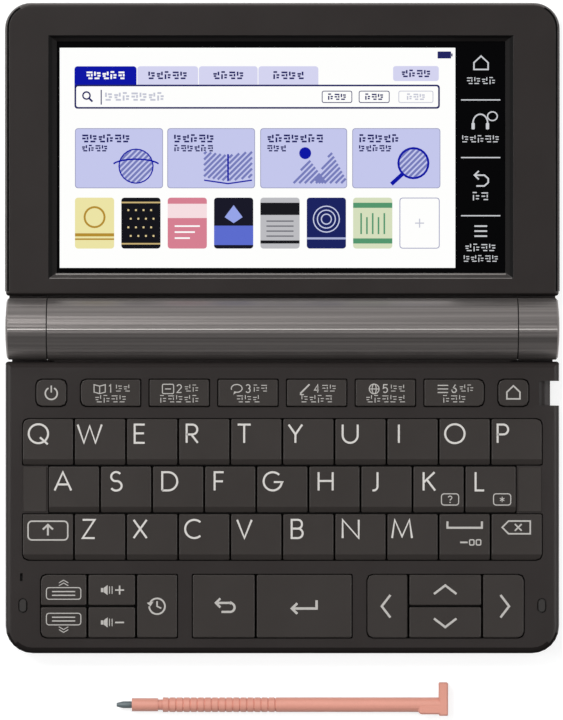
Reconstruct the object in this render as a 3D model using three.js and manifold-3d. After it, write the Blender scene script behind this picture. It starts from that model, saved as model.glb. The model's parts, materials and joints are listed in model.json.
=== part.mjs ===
// Electronic dictionary: a keyboard base and a display lid joined by a battery barrel hinge
// Millimetres, +Z up, lid open flat as it lies on a desk, origin at the centre of the base's underside
import * as THREE from 'three';
import { mergeVertices } from 'three/addons/utils/BufferGeometryUtils.js';
import Module from 'manifold-3d';

const wasm = await Module();
wasm.setup();

// Driving dimensions
const overallWidth = 148;
const baseDepth = 78;
const lidDepth = 78.3;
const barrelRadius = 8.15;
const knuckleLength = 11.05;
const axisHeight = 8.5;
const baseHeight = 9.5;
const partingHeight = 4.7;
const lidThickness = 6.4;
const lidUnderside = 0.3;
const baseCorner = 7.3;
const lidCorner = 6.7;
const rearCornerRadius = 0.8;
const baseEdge = 1.6;
const lidEdge = 1.1;
const leastCorner = 0.05;

// Clearances
const seamGap = 0.3;
const baseToBarrel = 0.55;
const lidToBarrel = 0.75;
const sillToBarrel = 0.05;
const cutOverrun = 3;

// Base shells
const sideWall = 1.6;
const topWall = 1.3;
const floorWall = 1.4;
const deckTop = 6.4;
const deckThickness = 1;
const wellWall = 1;
const bumperSize = {
  width: 1.9, length: 3.5, rise: 0.5, fromSide: 4.7, fromFront: 12.8, play: 0.25, depth: 0.6,
};
const fillerRise = 0.3;
const microphone = { width: 0.7, length: 2.1, depth: 0.8, fromSide: 4.3, fromFront: 20.4 };
const port = { length: 6.2, height: 2.3, depth: 1, fromRear: 15.9, floor: 1.4 };
const screwBoss = { radius: 2.4, bore: 1.2, fromSide: 5, fromFront: 5, rearFromSide: 14, fromRear: 3.2 };
const speaker = { slots: 6, slotWidth: 1, slotLength: 8, pitch: 2.2, fromSide: 18, fromRear: 26 };
const foot = { radius: 4.5, recess: 0.5, fromSide: 15, fromFront: 9, fromRear: 14 };
const roundSides = 16;

// Stylus and its silo in the base
const stylusRadius = 2;
const siloRadius = 2.25;
const siloWall = 0.85;
const siloFromRear = 8.5;
const siloHeight = 3.3;
const notch = { depth: 2.4, length: 6.6 };
const scoop = { reach: 3, drop: 2, sides: 32 };
const stylus = {
  length: 88.9, fromBase: 14.1, tipLength: 4.1, tipRadius: 0.5, tipShoulder: 0.95,
  shankRadius: 0.9, shankLength: 4, shankGap: 0.12, collarLength: 7, collarRadius: 1.8,
  neckLength: 1.3, neckRadius: 1.45,
  ribCount: 16, ribLength: 1.9, grooveLength: 0.5, grooveDepth: 0.35,
  footLength: 5.5, footReach: 2.5, footBottom: 0.8,
  armThickness: 2.5, armAbove: 6, armBelow: 2.9, sides: 14,
};

// Keys: heights, play and the spring stem under each cap
const keyTop = 10;
const keyCapHeight = 2.4;
const keyEdge = 0.2;
const keyPlay = 0.25;
const keySlope = { depth: 1.5, drop: 0.9 };
const stem = { radius: 1.5, play: 0.2, bottom: 4.2, sides: 8 };
const sharpCorner = 0.4;
const softCorner = 1.6;

// Key places: the letter block, the function row behind it and the clusters in front
const letterBlock = { sideRail: 4.45, rearRail: 15.1, gap: 0.22 };
const letterRows = ['qwertyuiop', 'asdfghjkl', 'zxcvbnm'];
const functionRow = {
  rearRail: 4.55, depth: 7.65, sideRail: 8, roundWidth: 8.6, roundSpacing: 3.3, spacing: 1.9, count: 6,
};
const cluster = { sideRail: 9.25, rearRail: 3.45, frontRail: 4, depth: 17.3, spacing: 3.65 };
const leftShares = [0.1039, 0.1064, 0.0917];
const middleShares = [0.1399, 0.2119];
const rightShares = [0.0917, 0.1612, 0.0933];

// Barrel, batteries and hinge
const barrelWall = 0.75;
const barrelSides = 48;
const barrelEnd = 9.65;
const contactRoom = 4.4;
const windowStartAngle = -165;
const windowEndAngle = -12;
const coverPlay = 0.25;
const coverGrip = { count: 5, width: 0.6, length: 6, pitch: 1.8, depth: 0.3 };
const trunnion = { radius: 4, length: 7.5, play: 0.15, sides: 24 };
const knuckleChamfer = 0.4;
const knuckleDome = 0.35;
const knuckleInset = 0.1;
const skirt = { bottom: 6, top: 8, embed: 1.5 };
const tongue = { bottom: 6.9, thickness: 1, reach: 3.3, shorter: 3.3 };
const cell = { play: 0.35, nubRadius: 2.75, nubLength: 1.1, shoulder: 0.6, sides: 28, spacing: 1 };

// Main board
const board = {
  fromSide: 8, fromRear: 14.3, fromFront: 6.7, bottom: 1.9, thickness: 1, notch: 6, chipHeight: 1,
};
const chipSizes = [8, 6, 8, 7];

// Lid
const lidWall = 1.5;
const lidFloor = 1.2;
const lidParting = 4.1;
const bezelThickness = 1.3;
const knuckleArm = { reach: 4, height: 3.8, lift: 0.4 };
const bezelBorder = { left: 11.5, right: 12.2, near: 4.6, far: 8.7 };
const bezelSlope = { side: 2.2, end: 1.55 };
const glassMargin = 1.4;
const displayCorner = 1;

// Derived places, measured from the hinge axis
const halfWidth = overallWidth / 2;
const baseRear = -(barrelRadius + baseToBarrel);
const baseFront = baseRear - baseDepth;
const lidNear = barrelRadius + lidToBarrel;
const lidFar = lidNear + lidDepth;
const sillFace = barrelRadius + sillToBarrel;
const lidTop = lidUnderside + lidThickness;
const topCaseBottom = partingHeight + seamGap;
const halfBarrel = halfWidth - knuckleLength - seamGap;
const halfBay = halfBarrel - barrelEnd;
const cellLength = halfBay - cell.nubLength - (cell.spacing + contactRoom) / 2;
const siloFromAxis = siloFromRear - baseRear;
const stylusFromAxis = stylus.fromBase - baseFront;
const letterWidth = overallWidth - 2 * letterBlock.sideRail;
const letterPitch = letterWidth / letterRows[0].length;
const functionRear = functionRow.rearRail - baseRear;
const functionFront = functionRear + functionRow.depth;
const clusterFront = -baseFront - cluster.frontRail;
const clusterRear = clusterFront - cluster.depth;
const letterRear = letterBlock.rearRail - baseRear;
const letterFront = clusterRear - cluster.rearRail;
const rowPitch = (letterFront - letterRear) / letterRows.length;
const clusterMiddle = (clusterRear + clusterFront) / 2;
const bezelWindow = {
  left: -halfWidth + bezelBorder.left, right: halfWidth - bezelBorder.right,
  near: lidNear + bezelBorder.near, far: lidFar - bezelBorder.far,
};
const glassWindow = {
  left: bezelWindow.left + bezelSlope.side, right: bezelWindow.right - bezelSlope.side,
  near: bezelWindow.near + bezelSlope.end, far: bezelWindow.far - bezelSlope.end,
};
const originFromAxis = -(baseRear + baseFront) / 2;

// Colours and finishes
const finishes = {
  shell: { color: 0x383432, roughness: 0.5, metalness: 0 },
  keys: { color: 0x3f3b39, roughness: 0.45, metalness: 0 },
  barrel: { color: 0x7b7672, roughness: 0.35, metalness: 0.7 },
  lid: { color: 0x373333, roughness: 0.45, metalness: 0 },
  display: { color: 0x0a0a0c, roughness: 0.1, metalness: 0 },
  cell: { color: 0xb5b8ba, roughness: 0.35, metalness: 0.8 },
  board: { color: 0x1f5a38, roughness: 0.55, metalness: 0 },
  stylus: { color: 0xe29886, roughness: 0.4, metalness: 0 },
  tip: { color: 0x5f6c70, roughness: 0.4, metalness: 0 },
};

const leftCorners = ['rearLeft', 'frontLeft'];
const rightCorners = ['rearRight', 'frontRight'];
const allCorners = [...leftCorners, ...rightCorners];
const caseSteps = { cornerSteps: 6, edgeSteps: 3 };
const root = new THREE.Group();
root.position.y = originFromAxis;

// A closed mesh as a solid that can be joined and cut
function solidOf(geometry) {
  const bare = geometry.index ? geometry.clone() : geometry;
  bare.deleteAttribute('normal');
  bare.deleteAttribute('uv');
  const merged = mergeVertices(bare);
  return new wasm.Manifold(new wasm.Mesh({
    numProp: 3,
    vertProperties: new Float32Array(merged.attributes.position.array),
    triVerts: new Uint32Array(merged.index.array),
  }));
}

function addPart(name, solid, finish) {
  const data = solid.getMesh();
  const geometry = new THREE.BufferGeometry();
  geometry.setAttribute('position', new THREE.BufferAttribute(new Float32Array(data.vertProperties), 3));
  geometry.setIndex(new THREE.BufferAttribute(new Uint32Array(data.triVerts), 1));
  geometry.computeVertexNormals();
  const mesh = new THREE.Mesh(geometry, new THREE.MeshStandardMaterial(finishes[finish]));
  mesh.name = name;
  root.add(mesh);
}

function box(x0, x1, y0, y1, z0, z1) {
  const geometry = new THREE.BoxGeometry(x1 - x0, y1 - y0, z1 - z0);
  geometry.translate((x0 + x1) / 2, (y0 + y1) / 2, (z0 + z1) / 2);
  return solidOf(geometry);
}

// A rectangle in plan with its own radius at each corner
function plate(x0, x1, y0, y1, radii) {
  return { x0, x1, y0, y1, radii };
}

function evenRadii(radius) {
  return { rearLeft: radius, rearRight: radius, frontRight: radius, frontLeft: radius };
}

// The points round a plate's edge, drawn in by an inset, anticlockwise from its front right corner
function edgePoints(rect, inset, steps) {
  const { x0, x1, y0, y1, radii } = rect;
  const corners = [
    [x1, y0, -1, 1, radii.frontRight], [x1, y1, -1, -1, radii.rearRight],
    [x0, y1, 1, -1, radii.rearLeft], [x0, y0, 1, 1, radii.frontLeft],
  ];
  return corners.flatMap(([x, y, inX, inY, fullRadius], quarter) => {
    const radius = Math.max(fullRadius - inset, leastCorner);
    return Array.from({ length: steps + 1 }, (_, i) => {
      const angle = (quarter - 1 + i / steps) * Math.PI / 2;
      return [
        x + inX * (inset + radius) + radius * Math.cos(angle),
        y + inY * (inset + radius) + radius * Math.sin(angle),
      ];
    });
  });
}

// Stacked rings of points, each given as [height, ring], skinned and capped
function loft(rings) {
  const count = rings[0][1].length;
  const positions = rings.flatMap(([z, ring]) => ring.flatMap(([x, y]) => [x, y, z]));
  const index = [];
  for (let level = 0; level + 1 < rings.length; level += 1) {
    for (let i = 0; i < count; i += 1) {
      const a = level * count + i;
      const b = level * count + (i + 1) % count;
      index.push(a, b, b + count, a, b + count, a + count);
    }
  }
  const top = (rings.length - 1) * count;
  for (let i = 1; i + 1 < count; i += 1) {
    index.push(0, i + 1, i);
    index.push(top, top + i, top + i + 1);
  }
  const geometry = new THREE.BufferGeometry();
  geometry.setAttribute('position', new THREE.Float32BufferAttribute(positions, 3));
  geometry.setIndex(index);
  return solidOf(geometry);
}

// A plate raised from z0 to z1, with its bottom and top edges rounded
function raised(rect, z0, z1, { bottomEdge = 0, topEdge = 0, cornerSteps = 2, edgeSteps = 1 } = {}) {
  const rings = [];
  const addEdge = (edge, startAngle, z, direction) => {
    for (let i = 0; i <= edgeSteps; i += 1) {
      const angle = startAngle + direction * (i / edgeSteps) * Math.PI / 2;
      const rise = direction > 0 ? edge * (1 - Math.cos(angle)) : -edge * (1 - Math.cos(angle));
      rings.push([z + rise, edgePoints(rect, edge * (1 - Math.sin(angle)), cornerSteps)]);
    }
  };
  if (bottomEdge > 0) addEdge(bottomEdge, 0, z0, 1);
  else rings.push([z0, edgePoints(rect, 0, cornerSteps)]);
  if (topEdge > 0) addEdge(topEdge, Math.PI / 2, z1, -1);
  else rings.push([z1, edgePoints(rect, 0, cornerSteps)]);
  return loft(rings);
}

// A side profile, drawn in Y and Z, run along X
function bar(points, x0, x1) {
  const shape = new THREE.Shape(points.map(([y, z]) => new THREE.Vector2(y, z)));
  const geometry = new THREE.ExtrudeGeometry(shape, { depth: x1 - x0, bevelEnabled: false });
  const along = new THREE.Matrix4().makeBasis(
    new THREE.Vector3(0, 1, 0), new THREE.Vector3(0, 0, 1), new THREE.Vector3(1, 0, 0));
  geometry.applyMatrix4(along);
  geometry.translate(x0, 0, 0);
  return solidOf(geometry);
}

// A profile of [along X, radius] pairs turned about a line parallel to X
function turned(points, y, z, sides) {
  const profile = points.map(([along, radius]) => new THREE.Vector2(radius, along));
  const geometry = new THREE.LatheGeometry(profile, sides);
  geometry.rotateZ(-Math.PI / 2);
  geometry.translate(0, y, z);
  return solidOf(geometry);
}

function rodAlongX(x0, x1, radius, y, z, sides) {
  return turned([[x0, 0], [x0, radius], [x1, radius], [x1, 0]], y, z, sides);
}

function post(x, y, z0, z1, radius, sides) {
  const geometry = new THREE.CylinderGeometry(radius, radius, z1 - z0, sides);
  geometry.rotateX(Math.PI / 2);
  geometry.translate(x, y, (z0 + z1) / 2);
  return solidOf(geometry);
}

// A box whose upper rectangle differs from its lower one
function funnel(lower, upper, z0, z1) {
  const geometry = new THREE.BoxGeometry(1, 1, 1);
  const place = geometry.attributes.position;
  for (let i = 0; i < place.count; i += 1) {
    const level = place.getZ(i) > 0 ? upper : lower;
    const x = place.getX(i) > 0 ? level.right : level.left;
    const y = place.getY(i) > 0 ? level.far : level.near;
    place.setXYZ(i, x, y, place.getZ(i) > 0 ? z1 : z0);
  }
  return solidOf(geometry);
}

// Arc of a ring about the hinge axis, as a profile in Y and Z
function ringArc(inner, outer, startDegrees, endDegrees, steps) {
  const at = (radius, share) => {
    const angle = THREE.MathUtils.degToRad(startDegrees + (endDegrees - startDegrees) * share);
    return [radius * Math.cos(angle), axisHeight + radius * Math.sin(angle)];
  };
  const shares = Array.from({ length: steps + 1 }, (_, i) => i / steps);
  return [...shares.map((share) => at(outer, share)), ...shares.reverse().map((share) => at(inner, share))];
}

// The lines between the keys of the three clusters, from left to right
function clusterSplits() {
  const span = overallWidth - 2 * cluster.sideRail - 2 * cluster.spacing;
  let x = -overallWidth / 2 + cluster.sideRail;
  return [leftShares, middleShares, rightShares].map((shares) => {
    const splits = [x];
    for (const share of shares) {
      x += share * span;
      splits.push(x);
    }
    x += cluster.spacing;
    return splits;
  });
}

// Key layout: every cap's rectangle between its gap centres, its soft corners and its slope
function keyLayout() {
  const keys = [];
  const add = (name, x0, x1, rear, front, play, sloped, soft = []) => {
    const radii = evenRadii(sharpCorner);
    for (const corner of soft) radii[corner] = softCorner;
    keys.push({ name, x0, x1, rear, front, play, sloped, radii });
  };
  const blockRow = (names, row, softStart, softEnd) => names.forEach((name, i) => {
    const x0 = (i - names.length / 2) * letterPitch;
    const rear = letterRear + row * rowPitch;
    const soft = [];
    if (i === 0 && softStart) soft.push(softStart);
    if (i === names.length - 1 && softEnd) soft.push(softEnd);
    add(name, x0, x0 + letterPitch, rear, rear + rowPitch, letterBlock.gap, true, soft);
  });
  const rows = letterRows.map((letters) => [...letters].map((letter) => `key_${letter}`));
  blockRow(rows[0], 0, 'rearLeft', 'rearRight');
  blockRow(rows[1], 1);
  blockRow(['key_shift', ...rows[2], 'key_space', 'key_delete'], 2, 'frontLeft', 'frontRight');

  const { sideRail, roundWidth, roundSpacing, spacing, count } = functionRow;
  const addFunction = (name, x0, width, soft) => {
    add(name, x0, x0 + width, functionRear, functionFront, keyPlay, false, soft);
  };
  addFunction('key_power', -halfWidth + sideRail, roundWidth, allCorners);
  addFunction('key_home', halfWidth - sideRail - roundWidth, roundWidth, allCorners);
  const rowStart = -halfWidth + sideRail + roundWidth + roundSpacing;
  const width = (-2 * rowStart - (count - 1) * spacing) / count;
  for (let i = 0; i < count; i += 1) {
    let soft = [];
    if (i === 0) soft = leftCorners;
    if (i === count - 1) soft = rightCorners;
    addFunction(`key_shortcut_${i + 1}`, rowStart + i * (width + spacing), width, soft);
  }

  const addCluster = (name, x0, x1, half, soft) => {
    const start = half === 'front' ? clusterMiddle : clusterRear;
    const end = half === 'rear' ? clusterMiddle : clusterFront;
    add(name, x0, x1, start, end, keyPlay, false, soft);
  };
  const [[l0, l1, l2, l3], [m0, m1, m2], [r0, r1, r2, r3]] = clusterSplits();
  addCluster('key_previous', l0, l1, 'rear', ['rearLeft']);
  addCluster('key_next', l0, l1, 'front', ['frontLeft']);
  addCluster('key_volume_up', l1, l2, 'rear');
  addCluster('key_volume_down', l1, l2, 'front');
  addCluster('key_history', l2, l3, 'whole');
  addCluster('key_back', m0, m1, 'whole');
  addCluster('key_enter', m1, m2, 'whole');
  addCluster('key_left', r0, r1, 'whole', leftCorners);
  addCluster('key_up', r1, r2, 'rear');
  addCluster('key_down', r1, r2, 'front');
  addCluster('key_right', r2, r3, 'whole', rightCorners);
  return keys;
}

const keys = keyLayout();
const inFunctionRow = (key) => key.rear === functionRear;

function keyCap(key) {
  const x0 = key.x0 + key.play;
  const x1 = key.x1 - key.play;
  const front = -key.front + key.play;
  const rear = -key.rear - key.play;
  const bottom = keyTop - keyCapHeight;
  let cap = raised(plate(x0, x1, front, rear, key.radii), bottom, keyTop, { topEdge: keyEdge });
  if (key.sloped) {
    const slope = [
      [front - cutOverrun, keyTop - keySlope.drop * (1 + cutOverrun / keySlope.depth)],
      [front + keySlope.depth, keyTop],
      [front + keySlope.depth, keyTop + cutOverrun],
      [front - cutOverrun, keyTop + cutOverrun],
    ];
    cap = cap.subtract(bar(slope, x0 - cutOverrun, x1 + cutOverrun));
  }
  if (!inFunctionRow(key)) {
    const x = (key.x0 + key.x1) / 2;
    const y = -(key.rear + key.front) / 2;
    cap = cap.add(post(x, y, stem.bottom, bottom + keyEdge, stem.radius, stem.sides));
  }
  return cap;
}

function baseOutline(inset) {
  const front = baseCorner - inset;
  const rear = Math.max(rearCornerRadius - inset, sharpCorner);
  const radii = { rearLeft: rear, rearRight: rear, frontRight: front, frontLeft: front };
  return plate(-halfWidth + inset, halfWidth - inset, baseFront + inset, baseRear - inset, radii);
}

function notchCut() {
  const half = notch.length / 2;
  return box(halfWidth - notch.depth, halfWidth + cutOverrun, -siloFromAxis - half, -siloFromAxis + half,
    -cutOverrun, baseHeight + cutOverrun);
}

// A finger scoop beside the notch: a round cut, deepest at the notch's edge
function scoopCut() {
  const { reach, drop, sides } = scoop;
  const rise = (reach ** 2 - drop ** 2) / (2 * drop);
  const geometry = new THREE.CylinderGeometry(rise + drop, rise + drop, notch.length, sides);
  geometry.translate(halfWidth - notch.depth, -siloFromAxis, baseHeight + rise);
  return solidOf(geometry);
}

function baseTopCase() {
  const ceiling = baseHeight - topWall;
  let shell = raised(baseOutline(0), topCaseBottom, baseHeight, { topEdge: baseEdge, ...caseSteps });
  shell = shell.subtract(raised(baseOutline(sideWall), topCaseBottom - cutOverrun, ceiling, caseSteps));
  // the deck under the letter block and the clusters, and the wall beside the silo notch
  const deckSide = halfWidth - sideWall - seamGap;
  const deckRear = -letterRear + wellWall;
  const deckFront = -clusterFront - wellWall;
  shell = shell.add(box(-deckSide, deckSide, deckFront, deckRear,
    deckTop - deckThickness, ceiling + topWall / 2));
  const half = notch.length / 2 + sideWall;
  const cheek = halfWidth - notch.depth - scoop.reach - sideWall;
  shell = shell.add(box(cheek, halfWidth - sideWall / 2, -siloFromAxis - half, -siloFromAxis + half,
    siloTop() + seamGap, ceiling + topWall / 2));
  shell = shell.subtract(notchCut()).subtract(scoopCut());
  for (const opening of keyOpenings()) shell = shell.subtract(opening);
  for (const key of keys.filter((each) => !inFunctionRow(each))) {
    const x = (key.x0 + key.x1) / 2;
    const y = -(key.rear + key.front) / 2;
    shell = shell.subtract(post(x, y, topCaseBottom, deckTop + seamGap,
      stem.radius + stem.play, stem.sides));
  }
  // slot for the barrel's tongue through the rear wall
  const slotHalf = halfBarrel - tongue.shorter / 2 + seamGap;
  shell = shell.subtract(box(-slotHalf, slotHalf, baseRear - sideWall - seamGap, baseRear + cutOverrun,
    tongue.bottom - seamGap, ceiling));
  for (const side of [-1, 1]) {
    const { play, depth, rise } = bumperSize;
    const x = side * (halfWidth - bumperSize.fromSide);
    shell = shell.subtract(bumper(x, play, baseHeight - depth, baseHeight + cutOverrun));
    shell = shell.add(bumper(x, 0, baseHeight - topWall, baseHeight + rise));
    shell = shell.add(filler(side));
  }
  const slitX = -halfWidth + microphone.fromSide;
  const slitY = baseFront + microphone.fromFront;
  return shell.subtract(box(slitX - microphone.width / 2, slitX + microphone.width / 2,
    slitY - microphone.length / 2, slitY + microphone.length / 2, baseHeight - microphone.depth,
    baseHeight + cutOverrun));
}

// An oval rubber bumper, or with some play round it the pocket that it stands in
function bumper(x, play, z0, z1) {
  const { width, length, fromFront } = bumperSize;
  const y = baseFront + fromFront;
  const halfX = width / 2 + play;
  const halfY = length / 2 + play;
  const outline = plate(x - halfX, x + halfX, y - halfY, y + halfY, evenRadii(halfX));
  return raised(outline, z0, z1, { topEdge: sharpCorner / 2, cornerSteps: 3 });
}

// The blank pad that fills the middle letter row's end
function filler(side) {
  const x = [side * (letterWidth / 2 - seamGap), side * (letterRows[1].length * letterPitch / 2 + seamGap)];
  const rear = -(letterRear + rowPitch + seamGap);
  const front = -(letterRear + 2 * rowPitch - seamGap);
  const outline = plate(Math.min(...x), Math.max(...x), front, rear, evenRadii(sharpCorner));
  return raised(outline, baseHeight - topWall / 2, baseHeight + fillerRise, { topEdge: keyEdge });
}

// Openings over the letter block, the three clusters and each function key
function keyOpenings() {
  const top = baseHeight + cutOverrun;
  const well = (x0, x1, rear, front, soft) => {
    const radii = evenRadii(sharpCorner);
    for (const corner of soft) radii[corner] = softCorner;
    return raised(plate(x0, x1, -front, -rear, radii), deckTop, top);
  };
  const half = letterWidth / 2;
  const [first, second, third] = letterRows.map((_, row) => letterRear + row * rowPitch);
  const middleHalf = letterRows[1].length * letterPitch / 2;
  const openings = [
    well(-half, half, first, second, ['rearLeft', 'rearRight']),
    well(-middleHalf, middleHalf, second - letterBlock.gap, third + letterBlock.gap, []),
    well(-half, half, third, letterFront, ['frontLeft', 'frontRight']),
  ];
  const soft = [leftCorners, [], allCorners];
  clusterSplits().forEach((splits, i) => {
    openings.push(well(splits[0], splits.at(-1), clusterRear, clusterFront, soft[i]));
  });
  for (const key of keys.filter(inFunctionRow)) {
    openings.push(raised(plate(key.x0, key.x1, -key.front, -key.rear, key.radii), topCaseBottom, top));
  }
  return openings;
}

function siloTop() {
  return siloHeight + siloRadius + siloWall;
}

function screwPlaces() {
  const x = halfWidth - screwBoss.fromSide;
  const rearX = halfWidth - screwBoss.rearFromSide;
  const front = baseFront + screwBoss.fromFront;
  const rear = baseRear - screwBoss.fromRear;
  return [[-x, front], [x, front], [-rearX, rear], [rearX, rear]];
}

// Recesses for the rubber feet
function footPlaces() {
  const x = halfWidth - foot.fromSide;
  return [baseFront + foot.fromFront, baseRear - foot.fromRear].flatMap((y) => [[-x, y], [x, y]]);
}

// Slots through the floor in front of the loudspeaker
function speakerSlots() {
  const { slots, slotWidth, slotLength, pitch, fromSide, fromRear } = speaker;
  const y = baseRear - fromRear;
  return Array.from({ length: slots }, (_, i) => {
    const x = -halfWidth + fromSide + i * pitch;
    return raised(plate(x - slotWidth / 2, x + slotWidth / 2, y - slotLength / 2, y + slotLength / 2,
      evenRadii(slotWidth / 2)), -cutOverrun, floorWall + cutOverrun);
  });
}

function baseBottomCase() {
  let shell = raised(baseOutline(0), 0, partingHeight, { bottomEdge: baseEdge, ...caseSteps });
  shell = shell.subtract(raised(baseOutline(sideWall), floorWall, partingHeight + cutOverrun, caseSteps));
  const half = siloRadius + siloWall;
  const siloEnd = halfWidth - notch.depth - (stylus.length - stylus.armThickness) - siloWall;
  const mouth = halfWidth - notch.depth;
  shell = shell.add(box(siloEnd - siloWall, halfWidth - sideWall / 2,
    -siloFromAxis - half, -siloFromAxis + half, floorWall / 2, siloTop()));
  const cheekHalf = notch.length / 2 + sideWall;
  shell = shell.add(box(mouth - sideWall, halfWidth - sideWall / 2, -siloFromAxis - cheekHalf,
    -siloFromAxis + cheekHalf, floorWall / 2, partingHeight));
  shell = shell.subtract(notchCut());
  shell = shell.subtract(rodAlongX(siloEnd, mouth + cutOverrun, siloRadius,
    -siloFromAxis, siloHeight, roundSides));
  for (const [x, y] of screwPlaces()) {
    shell = shell.add(post(x, y, floorWall / 2, partingHeight, screwBoss.radius, roundSides));
    shell = shell.subtract(post(x, y, -cutOverrun, partingHeight - floorWall, screwBoss.bore, stem.sides));
  }
  for (const slot of speakerSlots()) shell = shell.subtract(slot);
  for (const [x, y] of footPlaces()) {
    shell = shell.subtract(post(x, y, -cutOverrun, foot.recess, foot.radius, roundSides));
  }
  // sill behind the rear wall that closes the view past the barrel
  const sillHalf = halfWidth - baseEdge;
  shell = shell.add(box(-sillHalf, sillHalf, baseRear - sideWall / 2, -sillFace, baseEdge, partingHeight));
  const y = baseRear - port.fromRear;
  shell = shell.subtract(box(-halfWidth - cutOverrun, -halfWidth + port.depth, y - port.length / 2,
    y + port.length / 2, port.floor, port.floor + port.height));
  return shell;
}

function mainBoard() {
  const half = halfWidth - board.fromSide;
  const front = baseFront + board.fromFront;
  const top = board.bottom + board.thickness;
  let plateSolid = box(-half, half, front, baseRear - board.fromRear, board.bottom, top);
  for (const side of [-1, 1]) {
    const edge = side * half;
    plateSolid = plateSolid.subtract(box(Math.min(edge, edge - side * board.notch),
      Math.max(edge, edge - side * board.notch), front - cutOverrun, front + board.notch,
      board.bottom - cutOverrun, top + cutOverrun));
  }
  // chips in the band between the stems of the last letter row and those of the clusters
  const y = -(letterFront + clusterRear) / 2;
  chipSizes.forEach((size, i) => {
    const x = -half + 2 * half * (i + 1) / (chipSizes.length + 1);
    plateSolid = plateSolid.add(box(x - size / 2, x + size / 2, y - size / 2, y + size / 2,
      top - board.thickness / 2, top + board.chipHeight));
  });
  return plateSolid;
}

function spineShell() {
  const outer = barrelRadius;
  const inner = barrelRadius - barrelWall;
  let shell = rodAlongX(-halfBarrel, halfBarrel, outer, 0, axisHeight, barrelSides);
  // skirt and tongue that seat the barrel in the base's rear wall
  const skirtFront = baseRear + seamGap;
  shell = shell.add(box(-halfBarrel, halfBarrel, skirtFront, skirtFront + skirt.embed,
    skirt.bottom, skirt.top));
  const tongueHalf = halfBarrel - tongue.shorter / 2;
  shell = shell.add(box(-tongueHalf, tongueHalf, baseRear - tongue.reach, skirtFront + skirt.embed,
    tongue.bottom, tongue.bottom + tongue.thickness));
  shell = shell.subtract(rodAlongX(-halfBay, halfBay, inner, 0, axisHeight, barrelSides));
  const wedge = ringArc(outer / 2, outer + barrelWall, windowStartAngle, windowEndAngle, roundSides);
  shell = shell.subtract(bar(wedge, -halfBay, halfBay));
  for (const side of [-1, 1]) {
    const x = [side * (halfBarrel - barrelWall), side * (halfBarrel + trunnion.length)];
    shell = shell.add(rodAlongX(Math.min(...x), Math.max(...x), trunnion.radius,
      0, axisHeight, trunnion.sides));
  }
  return shell;
}

function batteryCover() {
  const half = halfBay - coverPlay;
  const play = THREE.MathUtils.radToDeg(coverPlay / barrelRadius);
  const arc = ringArc(barrelRadius - barrelWall, barrelRadius,
    windowStartAngle + play, windowEndAngle - play, roundSides);
  let cover = bar(arc, -half, half);
  // finger grooves across the lowest line of the cover
  const { count, width, length, pitch, depth } = coverGrip;
  const lowest = axisHeight - barrelRadius;
  for (let i = 0; i < count; i += 1) {
    const x = (i - (count - 1) / 2) * pitch;
    cover = cover.subtract(box(x - width / 2, x + width / 2, -length / 2, length / 2, lowest - cutOverrun,
      lowest + depth));
  }
  return cover;
}

function batteryCell(x0) {
  const { play, nubRadius, nubLength, shoulder, sides } = cell;
  const radius = barrelRadius - barrelWall - play;
  const x1 = x0 + cellLength;
  return turned([
    [x0, 0], [x0, radius - shoulder], [x0 + shoulder, radius], [x1 - shoulder, radius],
    [x1, radius - shoulder], [x1, nubRadius], [x1 + nubLength, nubRadius], [x1 + nubLength, 0],
  ], 0, axisHeight, sides);
}

function lidOutline(inset) {
  const far = lidCorner - inset;
  const near = Math.max(rearCornerRadius - inset, sharpCorner);
  const radii = { rearLeft: far, rearRight: far, frontRight: near, frontLeft: near };
  return plate(-halfWidth + inset, halfWidth - inset, lidNear + inset, lidFar - inset, radii);
}

// A knuckle: a capped cylinder with a blind bore for the trunnion, on an arm from the lid's edge
function knuckle(side) {
  const start = halfBarrel + seamGap;
  const end = halfWidth - knuckleInset;
  const bore = trunnion.radius + trunnion.play;
  const boreEnd = halfBarrel + trunnion.length + seamGap;
  const rim = barrelRadius - knuckleChamfer;
  const outer = [
    [start, 0], [start, barrelRadius], [end - knuckleDome - knuckleChamfer, barrelRadius],
    [end - knuckleDome, rim], [end, rim / 2], [end, 0],
  ];
  const hole = [[start - cutOverrun, 0], [start - cutOverrun, bore], [boreEnd, bore], [boreEnd, 0]];
  const mirrored = (points) => points.map(([along, radius]) => [-along, radius]).reverse();
  const flip = (points) => (side > 0 ? points : mirrored(points));
  const armTop = lidUnderside + knuckleArm.lift + knuckleArm.height;
  const reachIn = Math.sqrt(barrelRadius ** 2 - (axisHeight - armTop) ** 2) / 2;
  const armX = [side * start, side * (end - knuckleDome - knuckleChamfer)];
  const arm = box(Math.min(...armX), Math.max(...armX), reachIn, lidNear + knuckleArm.reach,
    lidUnderside + knuckleArm.lift, armTop);
  const cylinder = turned(flip(outer), 0, axisHeight, barrelSides).add(arm);
  return cylinder.subtract(turned(flip(hole), 0, axisHeight, trunnion.sides));
}

function lidBackCover() {
  let shell = raised(lidOutline(0), lidUnderside, lidParting, { bottomEdge: lidEdge, ...caseSteps });
  shell = shell.subtract(raised(lidOutline(lidWall), lidUnderside + lidFloor, lidParting + cutOverrun,
    caseSteps));
  // sill before the near wall that closes the view past the barrel
  const sillHalf = halfBarrel + seamGap + knuckleChamfer;
  shell = shell.add(box(-sillHalf, sillHalf, sillFace, lidNear + lidWall / 2,
    lidUnderside + lidEdge, lidParting));
  for (const side of [-1, 1]) shell = shell.add(armPad(side));
  return shell.add(knuckle(1)).add(knuckle(-1));
}

// Local thickening of the back cover where an arm enters it
function armPad(side) {
  const x = [side * (halfBarrel + seamGap), side * (halfWidth - lidWall / 2)];
  return box(Math.min(...x), Math.max(...x), lidNear + lidWall / 2, lidNear + knuckleArm.reach,
    lidUnderside + lidFloor / 2, lidParting);
}

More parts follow.
